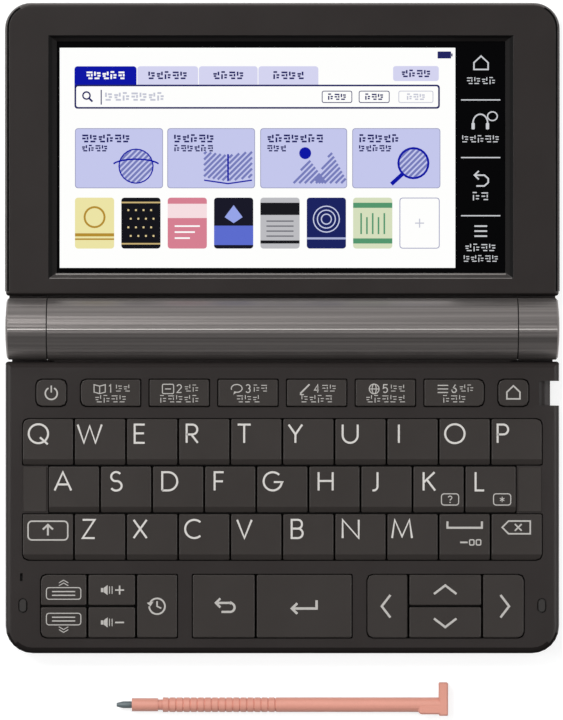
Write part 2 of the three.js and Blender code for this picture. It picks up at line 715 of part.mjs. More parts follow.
function lidBezel() {
  const low = lidParting + seamGap;
  let frame = raised(lidOutline(0), low, lidTop, { topEdge: lidEdge, ...caseSteps });
  frame = frame.subtract(raised(lidOutline(lidWall), low - cutOverrun, lidTop - bezelThickness, caseSteps));
  for (const side of [-1, 1]) {
    const x = [side * halfBarrel, side * (halfWidth + cutOverrun)];
    const armTop = lidUnderside + knuckleArm.lift + knuckleArm.height;
    frame = frame.subtract(box(Math.min(...x), Math.max(...x), lidNear - cutOverrun,
      lidNear + knuckleArm.reach + seamGap, low - cutOverrun, Math.min(armTop + seamGap, lidTop)));
  }
  const share = (bezelThickness + cutOverrun) / bezelThickness;
  const widened = {};
  for (const side of Object.keys(glassWindow)) {
    widened[side] = glassWindow[side] + (bezelWindow[side] - glassWindow[side]) * share;
  }
  frame = frame.subtract(box(glassWindow.left, glassWindow.right, glassWindow.near, glassWindow.far,
    lidTop - bezelThickness - cutOverrun, lidTop));
  return frame.subtract(funnel(glassWindow, widened, lidTop - bezelThickness, lidTop + cutOverrun));
}

function displayModule() {
  const { left, right, near, far } = glassWindow;
  const outline = plate(left - glassMargin, right + glassMargin, near - glassMargin, far + glassMargin,
    evenRadii(displayCorner));
  return raised(outline, lidUnderside + lidFloor + seamGap, lidTop - bezelThickness - seamGap);
}

// Stylus lying in front of the base, tip to the left, its hook turned flat towards the base
function stylusBarrel() {
  const s = stylus;
  const y = -stylusFromAxis;
  const z = stylusRadius;
  const left = -s.length / 2;
  const front = left + s.tipLength;
  const bore = s.shankRadius + s.shankGap;
  const boreEnd = front + s.shankLength + seamGap;
  let x = front + s.collarLength;
  const points = [
    [boreEnd, 0], [boreEnd, bore], [front, bore],
    [front, s.collarRadius], [x, s.collarRadius], [x, s.neckRadius],
  ];
  x += s.neckLength;
  points.push([x, s.neckRadius], [x, stylusRadius]);
  for (let i = 0; i < s.ribCount; i += 1) {
    const ribEnd = x + s.ribLength - s.grooveLength;
    points.push([ribEnd, stylusRadius], [ribEnd + s.grooveLength / 2, stylusRadius - s.grooveDepth]);
    x += s.ribLength;
    points.push([x, stylusRadius]);
  }
  const right = s.length / 2;
  points.push([right - s.armThickness / 2, stylusRadius], [right - s.armThickness / 2, 0]);
  const body = turned(points, y, z, s.sides);
  const armStart = right - s.armThickness;
  const arm = raised(plate(armStart, right, y - s.armBelow, y + s.armAbove, evenRadii(sharpCorner)),
    0, 2 * stylusRadius, { bottomEdge: sharpCorner, topEdge: sharpCorner, cornerSteps: 3 });
  // the foot that a fingertip pulls, beside the arm
  const footRadii = { ...evenRadii(sharpCorner), rearLeft: displayCorner, frontLeft: displayCorner };
  const footOutline = plate(armStart - s.footLength, right - s.armThickness / 2,
    y - s.footReach, y, footRadii);
  const foot = raised(footOutline, s.footBottom, 2 * stylusRadius,
    { topEdge: sharpCorner, cornerSteps: 3 });
  return body.add(arm).add(foot);
}

function stylusTip() {
  const s = stylus;
  const left = -s.length / 2;
  const shoulder = left + s.tipLength - seamGap;
  return turned([
    [left, 0], [left, s.tipRadius], [shoulder - s.tipLength / 2, s.tipShoulder], [shoulder, s.tipShoulder],
    [shoulder, s.shankRadius], [shoulder + s.shankLength, s.shankRadius], [shoulder + s.shankLength, 0],
  ], -stylusFromAxis, stylusRadius, s.sides);
}

addPart('base_top_case', baseTopCase(), 'shell');
addPart('base_bottom_case', baseBottomCase(), 'shell');
addPart('main_board', mainBoard(), 'board');
addPart('spine_shell', spineShell(), 'barrel');
addPart('battery_cover', batteryCover(), 'barrel');
addPart('battery_left', batteryCell(-(cellLength + cell.nubLength + cell.spacing / 2)), 'cell');
addPart('battery_right', batteryCell(cell.spacing / 2), 'cell');
addPart('lid_back_cover', lidBackCover(), 'lid');
addPart('lid_bezel', lidBezel(), 'lid');
addPart('display_module', displayModule(), 'display');
addPart('stylus_barrel', stylusBarrel(), 'stylus');
addPart('stylus_tip', stylusTip(), 'tip');
for (const key of keys) addPart(key.name, keyCap(key), 'keys');

export default root;
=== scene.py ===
import json
import math

import bmesh
import bpy
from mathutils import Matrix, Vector


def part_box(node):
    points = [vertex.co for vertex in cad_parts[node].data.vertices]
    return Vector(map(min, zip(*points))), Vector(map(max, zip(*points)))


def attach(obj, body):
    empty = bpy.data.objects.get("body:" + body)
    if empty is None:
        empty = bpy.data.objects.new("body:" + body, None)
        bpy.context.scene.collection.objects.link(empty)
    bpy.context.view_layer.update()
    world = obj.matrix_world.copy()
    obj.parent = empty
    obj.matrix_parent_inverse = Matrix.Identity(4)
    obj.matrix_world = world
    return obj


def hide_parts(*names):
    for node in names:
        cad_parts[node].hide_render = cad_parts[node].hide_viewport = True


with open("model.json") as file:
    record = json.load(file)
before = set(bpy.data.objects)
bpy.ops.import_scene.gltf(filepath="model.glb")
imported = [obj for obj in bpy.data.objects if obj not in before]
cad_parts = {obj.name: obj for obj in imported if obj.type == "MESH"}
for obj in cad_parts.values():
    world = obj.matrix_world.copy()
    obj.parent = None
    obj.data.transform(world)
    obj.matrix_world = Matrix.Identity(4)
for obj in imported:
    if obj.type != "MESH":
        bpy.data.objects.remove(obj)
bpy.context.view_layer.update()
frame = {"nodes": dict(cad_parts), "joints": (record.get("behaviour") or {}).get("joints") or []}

bl_info = {
    "name": "Electronic dictionary",
    "version": (1, 0, 0),
    "blender": (4, 5, 0),
    "location": "View3D > Sidebar > Dictionary",
    "description": "Dresses the open dictionary: cases, barrel, keys with their legends, display and stylus",
    "category": "Object",
}

# Units and the places taken from the frame
MM = 0.001
BASE_LOW, BASE_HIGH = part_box("base_top_case")
LID_LOW, LID_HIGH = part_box("lid_bezel")
DISPLAY_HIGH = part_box("display_module")[1]
HINGE = next(joint for joint in frame["joints"] if joint["name"] == "lid_hinge")
AXIS_Y, AXIS_Z = HINGE["pos_m"][1], HINGE["pos_m"][2]
HALF_WIDTH = BASE_HIGH[0]
BARREL_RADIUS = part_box("spine_shell")[1][2] - AXIS_Z

# Photograph: its frame in pixels, the object's edges in it and the barrel's middle line
PHOTO_WIDTH, PHOTO_HEIGHT = 563, 720
OBJECT_LEFT_PX, OBJECT_RIGHT_PX = 5.8, 558.87
BARREL_LINE_PX = 329
PX = 2 * HALF_WIDTH / (OBJECT_RIGHT_PX - OBJECT_LEFT_PX)
MIDDLE_PX = (OBJECT_LEFT_PX + OBJECT_RIGHT_PX) / 2


def photo_x(px):
    return (px - MIDDLE_PX) * PX


def photo_y(py):
    return AXIS_Y - (py - BARREL_LINE_PX) * PX


def srgb(red, green, blue):
    """A screen colour from 0 to 255 as the linear colour that Blender works in."""
    def linear(value):
        value /= 255
        return value / 12.92 if value <= 0.04045 else ((value + 0.055) / 1.055) ** 2.4
    return tuple(linear(value) for value in (red, green, blue))


def colour(name, description, default):
    return bpy.props.FloatVectorProperty(
        name=name, description=description, subtype="COLOR", size=3, min=0, max=1, default=default)


def length(name, description, default):
    return bpy.props.FloatProperty(
        name=name, description=description, subtype="DISTANCE", unit="LENGTH", min=0, default=default)


class DictionaryColours(bpy.types.PropertyGroup):
    """Colours that a user would change."""
    shell: colour("Shell", "Moulded base and lid", srgb(46, 42, 41))
    keys: colour("Keys", "Key caps", srgb(54, 50, 48))
    ink: colour("Ink", "Letters printed on the keys", srgb(205, 202, 198))
    marks: colour("Marks", "Small marks printed on the keys", srgb(182, 179, 175))
    barrel: colour("Barrel", "Metallic coat of the hinge barrel", srgb(128, 123, 121))
    stylus: colour("Stylus", "Stylus body", srgb(222, 155, 138))
    tip: colour("Stylus tip", "Stylus tip", srgb(96, 108, 112))


class DictionarySizes(bpy.types.PropertyGroup):
    """Sizes of the finishing details."""
    letter: length("Letter height", "Height of a capital on a key", 5.4 * MM)
    stroke: length("Stroke", "Width of a letter's stroke", 0.53 * MM)
    ink: length("Ink", "Thickness of the printed ink", 0.02 * MM)
    rib_pitch: length("Rib pitch", "Distance between the barrel's lengthwise lines", 1.15 * MM)
    rib_depth: length("Rib depth", "Depth of the barrel's lengthwise lines", 0.05 * MM)
    edge: length("Edge", "Softening of moulded edges", 0.12 * MM)


# Node helpers


def feed(tree, socket, value):
    """Gives a socket a value, or links another node's socket to it."""
    if isinstance(value, bpy.types.NodeSocket):
        tree.links.new(value, socket)
    else:
        socket.default_value = value


def add_node(tree, kind, inputs=None, **settings):
    """A new node with its settings, and its inputs by label or by place."""
    node = tree.nodes.new(kind)
    for name, value in settings.items():
        setattr(node, name, value)
    for label, value in (inputs or {}).items():
        feed(tree, node.inputs[label], value)
    return node


def math_node(tree, operation, *values, clamp=False):
    return add_node(tree, "ShaderNodeMath", dict(enumerate(values)), operation=operation, use_clamp=clamp).outputs[0]


def noise(tree, vector, scale, detail=2, roughness=0.5):
    inputs = {"Vector": vector, "Scale": scale, "Detail": detail, "Roughness": roughness}
    return add_node(tree, "ShaderNodeTexNoise", inputs).outputs["Fac"]


def mapped(tree, vector, scale):
    return add_node(tree, "ShaderNodeMapping", {"Vector": vector, "Scale": scale}).outputs["Vector"]


def map_range(tree, value, limits, **settings):
    """Maps a value from the first two limits to the last two."""
    inputs = {"Value": value, **dict(zip(("From Min", "From Max", "To Min", "To Max"), limits))}
    return add_node(tree, "ShaderNodeMapRange", inputs, **settings).outputs["Result"]


def group_tree(name, kind, inputs, outputs):
    """A new node group with its ends; inputs and outputs are pairs of a label and a sort of socket."""
    tree = bpy.data.node_groups.new(name, kind)
    for in_out, sockets in (("OUTPUT", outputs), ("INPUT", inputs)):
        for label, sort in sockets:
            tree.interface.new_socket(name=label, in_out=in_out, socket_type="NodeSocket" + sort)
    return tree, tree.nodes.new("NodeGroupInput").outputs, tree.nodes.new("NodeGroupOutput")


def made_once(build):
    """Builds a node group on its first call, and finds it by its name after that."""
    return lambda: bpy.data.node_groups.get(build.__name__) or build(build.__name__)


# Surfaces that several materials share

BUMP_HEIGHT = 0.02 * MM
GRAIN_SCALE, UNEVEN_SCALE = 4000, 45
LINE_SCALE, BAND_SCALE = (5, 1500, 1500), (1.5, 650, 650)


def surface_group(name, extra):
    """An empty group for a surface, with one input of its own besides colour and roughness."""
    inputs = (("Vector", "Vector"), ("Colour", "Color"), ("Roughness", "Float"), (extra, "Float"))
    outputs = (("Colour", "Color"), ("Roughness", "Float"), ("Normal", "Vector"))
    return group_tree(name, "ShaderNodeTree", inputs, outputs)


def end_surface(tree, outlet, colour, tone, roughness, strength, height):
    """Ends a surface group: the colour times a tone, the roughness, and a bump."""
    scaled = add_node(tree, "ShaderNodeVectorMath", {0: colour, "Scale": tone}, operation="SCALE")
    bump = add_node(tree, "ShaderNodeBump", {"Distance": BUMP_HEIGHT, "Strength": strength, "Height": height})
    for label, socket in (("Colour", scaled.outputs["Vector"]), ("Roughness", roughness),
                          ("Normal", bump.outputs["Normal"])):
        feed(tree, outlet.inputs[label], socket)
    return tree


@made_once
def moulded_surface(name):
    """Fine spark-eroded grain with a faint unevenness of tone, shared by all the moulded plastics."""
    tree, given, outlet = surface_group(name, "Grain")
    fine = noise(tree, given["Vector"], GRAIN_SCALE, 3)
    broad = noise(tree, given["Vector"], UNEVEN_SCALE, 4, 0.6)
    tone = math_node(tree, "MULTIPLY", math_node(tree, "MULTIPLY_ADD", broad, 0.16, 0.92),
                     math_node(tree, "MULTIPLY_ADD", fine, 0.14, 0.93))
    rough = math_node(tree, "MULTIPLY_ADD", broad, 0.12, given["Roughness"])
    rough = math_node(tree, "SUBTRACT", rough, 0.06, clamp=True)
    return end_surface(tree, outlet, given["Colour"], tone, rough, given["Grain"], fine)


@made_once
def drawn_lines(name):
    """Fine lines along X, as in a drawn metallic finish."""
    tree, given, outlet = surface_group(name, "Contrast")
    lines = noise(tree, mapped(tree, given["Vector"], LINE_SCALE), 1, 2, 0.6)
    bands = noise(tree, mapped(tree, given["Vector"], BAND_SCALE), 1, 1)
    mixed = math_node(tree, "MULTIPLY_ADD", bands, 0.45, math_node(tree, "MULTIPLY", lines, 0.55))
    offset = math_node(tree, "SUBTRACT", mixed, 0.5)
    tone = math_node(tree, "MULTIPLY_ADD", offset, given["Contrast"], 1.0)
    rough = math_node(tree, "MULTIPLY_ADD", offset, 0.25, given["Roughness"], clamp=True)
    return end_surface(tree, outlet, given["Colour"], tone, rough, 0.12, lines)


def base_material(name, values=None):
    """A new material: its tree, its Principled shader's inputs, and the object's own coordinates."""
    made = bpy.data.materials.new(name)
    made.use_nodes = True
    tree = made.node_tree
    tree.nodes.clear()
    shader = add_node(tree, "ShaderNodeBsdfPrincipled", values)
    add_node(tree, "ShaderNodeOutputMaterial", {"Surface": shader.outputs["BSDF"]})
    return tree, shader.inputs, add_node(tree, "ShaderNodeTexCoord").outputs["Object"]


def grouped_material(name, group, settings, values):
    """A material whose surface comes from a shared group."""
    tree, shader, place = base_material(name, values)
    surface = add_node(tree, "ShaderNodeGroup", node_tree=group())
    for label, value in {"Vector": place, **settings}.items():
        feed(tree, surface.inputs[label], value)
    for label, source in (("Base Color", "Colour"), ("Roughness", "Roughness"), ("Normal", "Normal")):
        feed(tree, shader[label], surface.outputs[source])


def plastic(name, tint, roughness, grain, specular=0.5, metallic=0.0):
    grouped_material(name, moulded_surface, {"Colour": tint, "Roughness": roughness, "Grain": grain},
                     {"Specular IOR Level": specular, "Metallic": metallic})


def drawn_metal(name, tint, roughness, contrast, metallic):
    grouped_material(name, drawn_lines, {"Colour": tint, "Roughness": roughness, "Contrast": contrast},
                     {"Metallic": metallic})


def lit_material(name):
    """Flat light from the display, coloured by each face's own colour attribute."""
    tree, shader, _ = base_material(name, {
        "Emission Strength": 1.0, "Base Color": (0, 0, 0, 1), "Roughness": 0.25, "Specular IOR Level": 0.0})
    tint = add_node(tree, "ShaderNodeAttribute", attribute_name="picture")
    feed(tree, shader["Emission Color"], tint.outputs["Color"])


def glass_black(name):
    """Black glass: the touch panel over the unlit parts of the display."""
    tree, shader, place = base_material(name, {"Base Color": (0.0015, 0.0015, 0.0018, 1), "Specular IOR Level": 0.12})
    feed(tree, shader["Roughness"], math_node(tree, "MULTIPLY_ADD", noise(tree, place, 60, 3), 0.05, 0.04))


SLOPE_DARK, SLOPE_BLACK = 0.62 * MM, 0.48 * MM


def frame_slope(name):
    """The slope round the display: nearly black at its rim, lighter towards the glass."""
    tree, shader, place = base_material(name, {"Roughness": 0.5, "Specular IOR Level": 0.13})
    height = add_node(tree, "ShaderNodeSeparateXYZ", {"Vector": place}).outputs["Z"]
    share = map_range(tree, height, (LID_HIGH[2] - SLOPE_DARK, LID_HIGH[2] - SLOPE_BLACK))
    tone = add_node(tree, "ShaderNodeMix", {"Factor": share}, data_type="RGBA")
    for socket, tint in zip([socket for socket in tone.inputs if socket.type == "RGBA"],
                            (srgb(20, 18, 18), srgb(5, 4, 4))):
        socket.default_value = (*tint, 1)
    feed(tree, shader["Base Color"], next(socket for socket in tone.outputs if socket.type == "RGBA"))


def floor_material(name):
    """Pale floor: shaded by the lamps, lifted to white for camera and reflections, clear from below."""
    tree, shader, _ = base_material(name, {
        "Base Color": (FLOOR_TONE, FLOOR_TONE, FLOOR_TONE, 1), "Roughness": 0.9, "Specular IOR Level": 0.0,
        "Emission Color": (1, 1, 1, 1)})
    rays = add_node(tree, "ShaderNodeLightPath").outputs
    seen = math_node(tree, "MAXIMUM", rays["Is Camera Ray"], rays["Is Glossy Ray"])
    seen = math_node(tree, "MAXIMUM", seen, rays["Is Transmission Ray"])
    feed(tree, shader["Emission Strength"], math_node(tree, "MULTIPLY", seen, FLOOR_GLOW))
    side = add_node(tree, "ShaderNodeNewGeometry").outputs["Backfacing"]
    feed(tree, shader["Alpha"], math_node(tree, "SUBTRACT", 1.0, side))


# Moulded finishes: a colour of the panel or a fixed one, roughness, grain, specular level, metallic share
# some entries are painted light: the darker copy of the shell and the near-black well, groove and seam colours are
# painted shade; the lighter copy of the shell and the near slope's, trims' and rim band's colours are painted
# highlights
PLASTICS = {
    "case_plastic": ("shell", 0.32, 0.25, 0.2), "lid_plastic": (("shell", 0.94), 0.3, 0.2, 0.2),
    "case_dull": ("shell", 0.8, 0.25, 0.05), "case_shade": (("shell", 0.42), 0.8, 0.25, 0.05),
    "lid_rim": (("shell", 2.4), 0.35, 0.2, 0.4), "key_plastic": ("keys", 0.34, 0.18, 0.22),
    "legend_ink": ("ink", 0.55, 0.1, 0.1), "mark_ink": ("marks", 0.55, 0.1, 0.1),
    "barrel_cap": ("barrel", 0.4, 0.05, 0.5, 0.75), "frame_near": ((56, 53, 52), 0.4, 0.03, 0.2),
    "frame_edge": ((112, 108, 106), 0.3, 0.03, 0.5), "rim_groove": ((8, 8, 8), 0.8, 0.1, 0.05),
    "rim_band": ((104, 101, 99), 0.4, 0.05, 0.4), "key_well": ((20, 19, 19), 0.7, 0.1, 0.2),
    "seam_black": ((24, 23, 23), 0.8, 0.1, 0.1), "stylus_plastic": ("stylus", 0.35, 0.1, 0.45),
    "tip_plastic": ("tip", 0.42, 0.1, 0.5), "rubber": ((52, 50, 49), 0.75, 0.5, 0.2),
    "foot_rubber": ((30, 29, 29), 0.85, 0.6, 0.2), "cell_wrap": ((46, 70, 96), 0.3, 0.05, 0.5),
    "cell_band": ((196, 160, 84), 0.3, 0.05, 0.5), "speaker_cloth": ((26, 26, 27), 0.9, 0.9, 0.1),
    "solder_mask": ((30, 92, 58), 0.4, 0.15, 0.5), "chip_resin": ((34, 34, 36), 0.55, 0.4, 0.4),
}
# Drawn finishes: colour, roughness, contrast of the lines, metallic share
METALS = {
    # the crown's line is a lighter copy of the barrel's metal: a painted highlight
    "barrel_metal": ("barrel", 0.36, 1.5, 0.75), "bright_line": ((176, 172, 169), 0.5, 0.1, 0.75),
    "cell_steel": ((190, 192, 195), 0.3, 0.25, 1.0), "contact_metal": ((200, 200, 196), 0.3, 0.2, 1.0),
    "screw_steel": ((118, 118, 120), 0.35, 0.3, 0.9),
}
OTHER_MATERIALS = {
    "inner_frame": frame_slope, "display_glass": glass_black, "display_light": lit_material,
    "stage_floor": floor_material,
}


def panel_tint(tint):
    """A colour of the panel by its name, the same times a factor, or a fixed screen colour, with its alpha."""
    if len(tint) == 3 and not isinstance(tint, str):
        return (*srgb(*tint), 1)
    name, factor = (tint, 1) if isinstance(tint, str) else tint
    return (*[value * factor for value in getattr(bpy.context.scene.dictionary_colours, name)], 1)


def material(name):
    """A material of the tables, made when it is first asked for."""
    if name in bpy.data.materials:
        return bpy.data.materials[name]
    if name in OTHER_MATERIALS:
        OTHER_MATERIALS[name](name)
    else:
        tint, *values = PLASTICS.get(name) or METALS[name]
        (plastic if name in PLASTICS else drawn_metal)(name, panel_tint(tint), *values)
    return bpy.data.materials[name]


# Mesh helpers


def linked(name, data):
    """A new object in the scene."""
    item = bpy.data.objects.new(name, data)
    bpy.context.scene.collection.objects.link(item)
    return item


def new_piece(name, mesh, body, finishes, replaced=()):
    piece = linked(name, mesh)
    if not mesh.materials:
        for finish in finishes:
            mesh.materials.append(material(finish))
    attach(piece, body)
    if replaced:
        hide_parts(*replaced)


def solid_piece(name, parts, body, finish):
    new_piece(name, shade(joined(name, parts)), body, [finish])


def dress(name, node, width, body, finishes):
    """A piece that stands for a node, with softened edges.

    Each finish but the first has a test, and covers the faces that pass it.
    """
    mesh = softened(node, width)
    for index, inside in enumerate(finishes.values()):
        for face in mesh.polygons if inside else ():
            if inside(face.center, face.normal):
                face.material_index = index
    new_piece(name, shade(mesh), body, finishes, [node])


def evaluated_mesh(piece, name):
    """The mesh that an object's modifiers give; the object itself is removed."""
    graph = bpy.context.evaluated_depsgraph_get()
    mesh = bpy.data.meshes.new_from_object(piece.evaluated_get(graph), depsgraph=graph)
    mesh.name = name
    bpy.data.objects.remove(piece)
    return mesh


def shade(mesh, angle=math.radians(50)):
    """Smooth shading that keeps large flat faces flat; gives the mesh that replaces the one passed in."""
    mesh.shade_smooth()
    mesh.set_sharp_from_angle(angle=angle)
    piece = linked("shading", mesh)
    weights = piece.modifiers.new("weighted_normals", "WEIGHTED_NORMAL")
    weights.keep_sharp = True
    weights.weight = 100
    result = evaluated_mesh(piece, mesh.name)
    bpy.data.meshes.remove(mesh)
    return result


MERGE_DISTANCE, FLAT_ANGLE, SHARP_ANGLE = 0.002 * MM, math.radians(0.8), math.radians(28)


def softened(node, width):
    """A frame node's shape, merged and with its edges softened, as a new mesh."""
    mesh = frame["nodes"][node].data.copy()
    mesh.materials.clear()
    form = bmesh.new()
    form.from_mesh(mesh)
    bmesh.ops.remove_doubles(form, verts=form.verts, dist=MERGE_DISTANCE)
    bmesh.ops.dissolve_limit(form, angle_limit=FLAT_ANGLE, verts=form.verts, edges=form.edges)
    form.to_mesh(mesh)
    form.free()
    piece = linked("working_copy", mesh)
    if width > 0:
        bevel = piece.modifiers.new("soft_edges", "BEVEL")
        bevel.width, bevel.segments = width, 2
        bevel.limit_method, bevel.angle_limit = "ANGLE", SHARP_ANGLE
    result = evaluated_mesh(piece, node + "_finish")
    bpy.data.meshes.remove(mesh)
    return result


def joined(name, parts):
    """Several parts as one mesh: points, faces, and a material index where it isn't 0."""
    points, polygons, indices = [], [], []
    for part_points, part_faces, *index in parts:
        start = len(points)
        points += part_points
        polygons += [[start + i for i in face] for face in part_faces]
        indices += (index or [0]) * len(part_faces)
    mesh = bpy.data.meshes.new(name)
    mesh.from_pydata(points, [], polygons)
    mesh.polygons.foreach_set("material_index", indices)
    mesh.update()
    return mesh


def skin(loops, closed=False):
    """Points and faces of a body through loops of like numbers of points, with flat ends or closed on itself."""
    count, total = len(loops[0]), len(loops)
    faces = []
    for i in range(total if closed else total - 1):
        low, high = i * count, (i + 1) % total * count
        faces += [[low + j, low + (j + 1) % count, high + (j + 1) % count, high + j] for j in range(count)]
    if not closed:
        faces += [list(range(count))[::-1], list(range((total - 1) * count, total * count))]
    return [point for loop in loops for point in loop], faces


def prism(outline, low, high):
    """A body that stands on a plan outline between two heights."""
    return skin([[(x, y, z) for x, y in outline] for z in (low, high)])


def rectangle(x0, y0, x1, y1, radius=0.0, steps=4):
    """A plan rectangle, anticlockwise, with rounded corners where a radius is given."""
    x0, x1 = min(x0, x1), max(x0, x1)
    y0, y1 = min(y0, y1), max(y0, y1)
    if radius <= 0:
        return [(x0, y0), (x1, y0), (x1, y1), (x0, y1)]
    outline = []
    for quarter, (cx, cy) in enumerate([(x1 - radius, y0 + radius), (x1 - radius, y1 - radius),
                                        (x0 + radius, y1 - radius), (x0 + radius, y0 + radius)]):
        outline += arc(cx, cy, radius, radius, 90 * quarter - 90, 90 * quarter, steps)
    return outline


def arc(cx, cy, rx, ry, start, end, steps=12):
    angles = [math.radians(start + (end - start) * i / steps) for i in range(steps + 1)]
    return [(cx + rx * math.cos(a), cy + ry * math.sin(a)) for a in angles]


MITRE_LIMIT = 1.8
STROKE_STEP = 0.002 * MM


def ribbon(path, width, low, high, closed=False):
    """Points and faces of a stroke of even width along a plan path, with mitred joins."""
    count = len(path)
    left, right = [], []
    for i, (x, y) in enumerate(path):
        before = path[i - 1] if i > 0 or closed else None
        after = path[(i + 1) % count] if i < count - 1 or closed else None
        directions = []
        if before:
            directions.append(Vector((x - before[0], y - before[1])).normalized())
        if after:
            directions.append(Vector((after[0] - x, after[1] - y)).normalized())
        along = sum(directions, Vector((0, 0)))
        along = along.normalized() if along.length > 1e-6 else directions[0]
        side = Vector((-along.y, along.x))
        reach = min(1 / max(side.dot(Vector((-directions[0].y, directions[0].x))), 0.01), MITRE_LIMIT)
        offset = side * width / 2 * reach
        left.append((x + offset.x, y + offset.y))
        right.append((x - offset.x, y - offset.y))
    points = [(x, y, z) for z in (low, high) for side in (right, left) for x, y in side]
    faces = []
    spans = count if closed else count - 1
    for i in range(spans):
        j = (i + 1) % count
        faces.append([2 * count + i, 2 * count + j, 3 * count + j, 3 * count + i])
        faces.append([i, count + i, count + j, j])
        faces.append([i, j, 2 * count + j, 2 * count + i])
        faces.append([count + i, 3 * count + i, 3 * count + j, count + j])
    if not closed:
        last = count - 1
        faces.append([0, 2 * count, 3 * count, count])
        faces.append([last, count + last, 3 * count + last, 2 * count + last])
    return points, faces


# Keys: letters and marks as strokes in a box one unit high


def letter_strokes(letter, w):
    """Stroke paths of a capital; w is the width between its outer stroke centres."""
    half = w / 2
    table = {
        "A": [[(0, 0), (half, 1), (w, 0)], [(w * 0.17, 0.33), (w * 0.83, 0.33)]],
        "B": [[(0, 0.52), (0, 1)] + arc(w - 0.26, 0.76, 0.22, 0.24, 90, -90) + [(w * 0.1, 0.52)],
              [(0, 0.6), (0, 0)] + arc(w - 0.26, 0.26, 0.26, 0.26, -90, 90) + [(w * 0.1, 0.52)]],
        "C": [arc(0.5, 0.5, 0.5, 0.5, 48, 312, 24)],
        "D": [[(0, 0), (0, 1)] + arc(w - 0.5, 0.5, 0.5, 0.5, 90, -90, 18) + [(0, 0)]],
        "E": [[(w, 0), (0, 0), (0, 1), (w, 1)], [(0, 0.52), (w * 0.93, 0.52)]],
        "F": [[(0, 0), (0, 1), (w, 1)], [(0, 0.5), (w * 0.93, 0.5)]],
        "G": [arc(0.5, 0.5, 0.5, 0.5, 45, 350, 26) + [(w, 0.46), (w * 0.55, 0.46)]],
        "H": [[(0, 0), (0, 1)], [(w, 0), (w, 1)], [(0, 0.52), (w, 0.52)]],
        "I": [[(0, 0), (0, 1)]],
        "J": [[(w, 1)] + arc(w - 0.22, 0.22, 0.22, 0.22, 0, -105, 10)],
        "K": [[(0, 0), (0, 1)], [(w * 0.95, 1), (w * 0.05, 0.46)], [(w * 0.3, 0.58), (w, 0)]],
        "L": [[(0, 1), (0, 0), (w, 0)]],
        "M": [[(0, 0), (w * 0.13, 1), (half, 0.08), (w * 0.87, 1), (w, 0)]],
        "N": [[(0, 0), (0, 1), (w, 0), (w, 1)]],
        "O": [arc(half, 0.5, half, 0.52, 0, 360 - 12, 29)],
        "P": [[(0, 0), (0, 1)] + arc(w - 0.27, 0.73, 0.27, 0.27, 90, -90) + [(0, 0.46)]],
        "Q": [arc(half, 0.5, half, 0.52, 0, 360 - 12, 29), [(w * 0.58, 0.3), (w * 0.98, -0.08)]],
        "R": [[(0, 0), (0, 1)] + arc(w - 0.29, 0.73, 0.27, 0.27, 90, -90) + [(0, 0.46)],
              [(w * 0.42, 0.46), (w, 0)]],
        "S": [arc(half, 0.755, half * 0.9, 0.255, 35, 250, 14) + arc(half, 0.255, half, 0.265, 75, -150, 14)],
        "T": [[(0, 1), (w, 1)], [(half, 1), (half, 0)]],
        "U": [[(0, 1)] + arc(half, half, half, half, 180, 360, 14) + [(w, 1)]],
        "V": [[(0, 1), (half, 0), (w, 1)]],
        "W": [[(0, 1), (w * 0.26, 0), (half, 0.92), (w * 0.74, 0), (w, 1)]],
        "X": [[(0, 0), (w, 1)], [(0, 1), (w, 0)]],
        "Y": [[(0, 1), (half, 0.46), (w, 1)], [(half, 0.46), (half, 0)]],
        "Z": [[(0, 1), (w, 1), (0, 0), (w, 0)]],
    }
    return table[letter]


# Each capital's left edge on its key and its full width, in pixels of the photograph
LETTER_PLACES = {
    "Q": (5.8, 21.4), "W": (2.7, 26), "E": (7.6, 12), "R": (7.5, 13), "T": (6.4, 15), "Y": (5.3, 15.5),
    "U": (7.2, 17), "I": (11.3, 2.8), "O": (5.5, 21.4), "P": (5.9, 12.5), "A": (5.7, 18.5), "S": (9.6, 13),
    "D": (9.1, 17), "F": (9.4, 11), "G": (6.3, 20.6), "H": (9.2, 16), "J": (10, 8), "K": (10, 13.5),
    "L": (9.9, 10.5), "Z": (7.7, 14), "X": (6.6, 15), "C": (6, 17.5), "V": (5.9, 16.5), "B": (8.3, 13),
    "N": (7.2, 18), "M": (4.6, 21.8),
}
LETTER_FROM_REAR_PX = 5.5
CLOSED_LETTERS = {"O", "Q"}


# made-up signs that stand for text: strokes within a square of side one
SIGNS = (
    ((0.1, 0.1, 0.9, 0.1), (0.1, 0.5, 0.55, 0.5), (0.35, 0.9, 0.9, 0.9), (0.8, 0.3, 0.8, 0.65)),
    ((0.15, 0.0, 0.15, 0.55), (0.4, 0.2, 0.9, 0.2), (0.5, 0.55, 0.9, 0.55), (0.1, 0.9, 0.75, 0.9)),
    ((0.1, 0.3, 0.6, 0.3), (0.8, 0.0, 0.8, 0.5), (0.15, 0.6, 0.5, 0.6), (0.3, 0.9, 0.95, 0.9)),
    ((0.2, 0.35, 0.2, 1.0), (0.1, 0.05, 0.6, 0.05), (0.5, 0.45, 0.9, 0.45), (0.5, 0.8, 0.85, 0.8)),
)
SIGN_STEP = 1.08
KEY_SIGN_STROKE, SCREEN_SIGN_STROKE, STRIP_SIGN_STROKE = 0.105, 0.23, 0.135


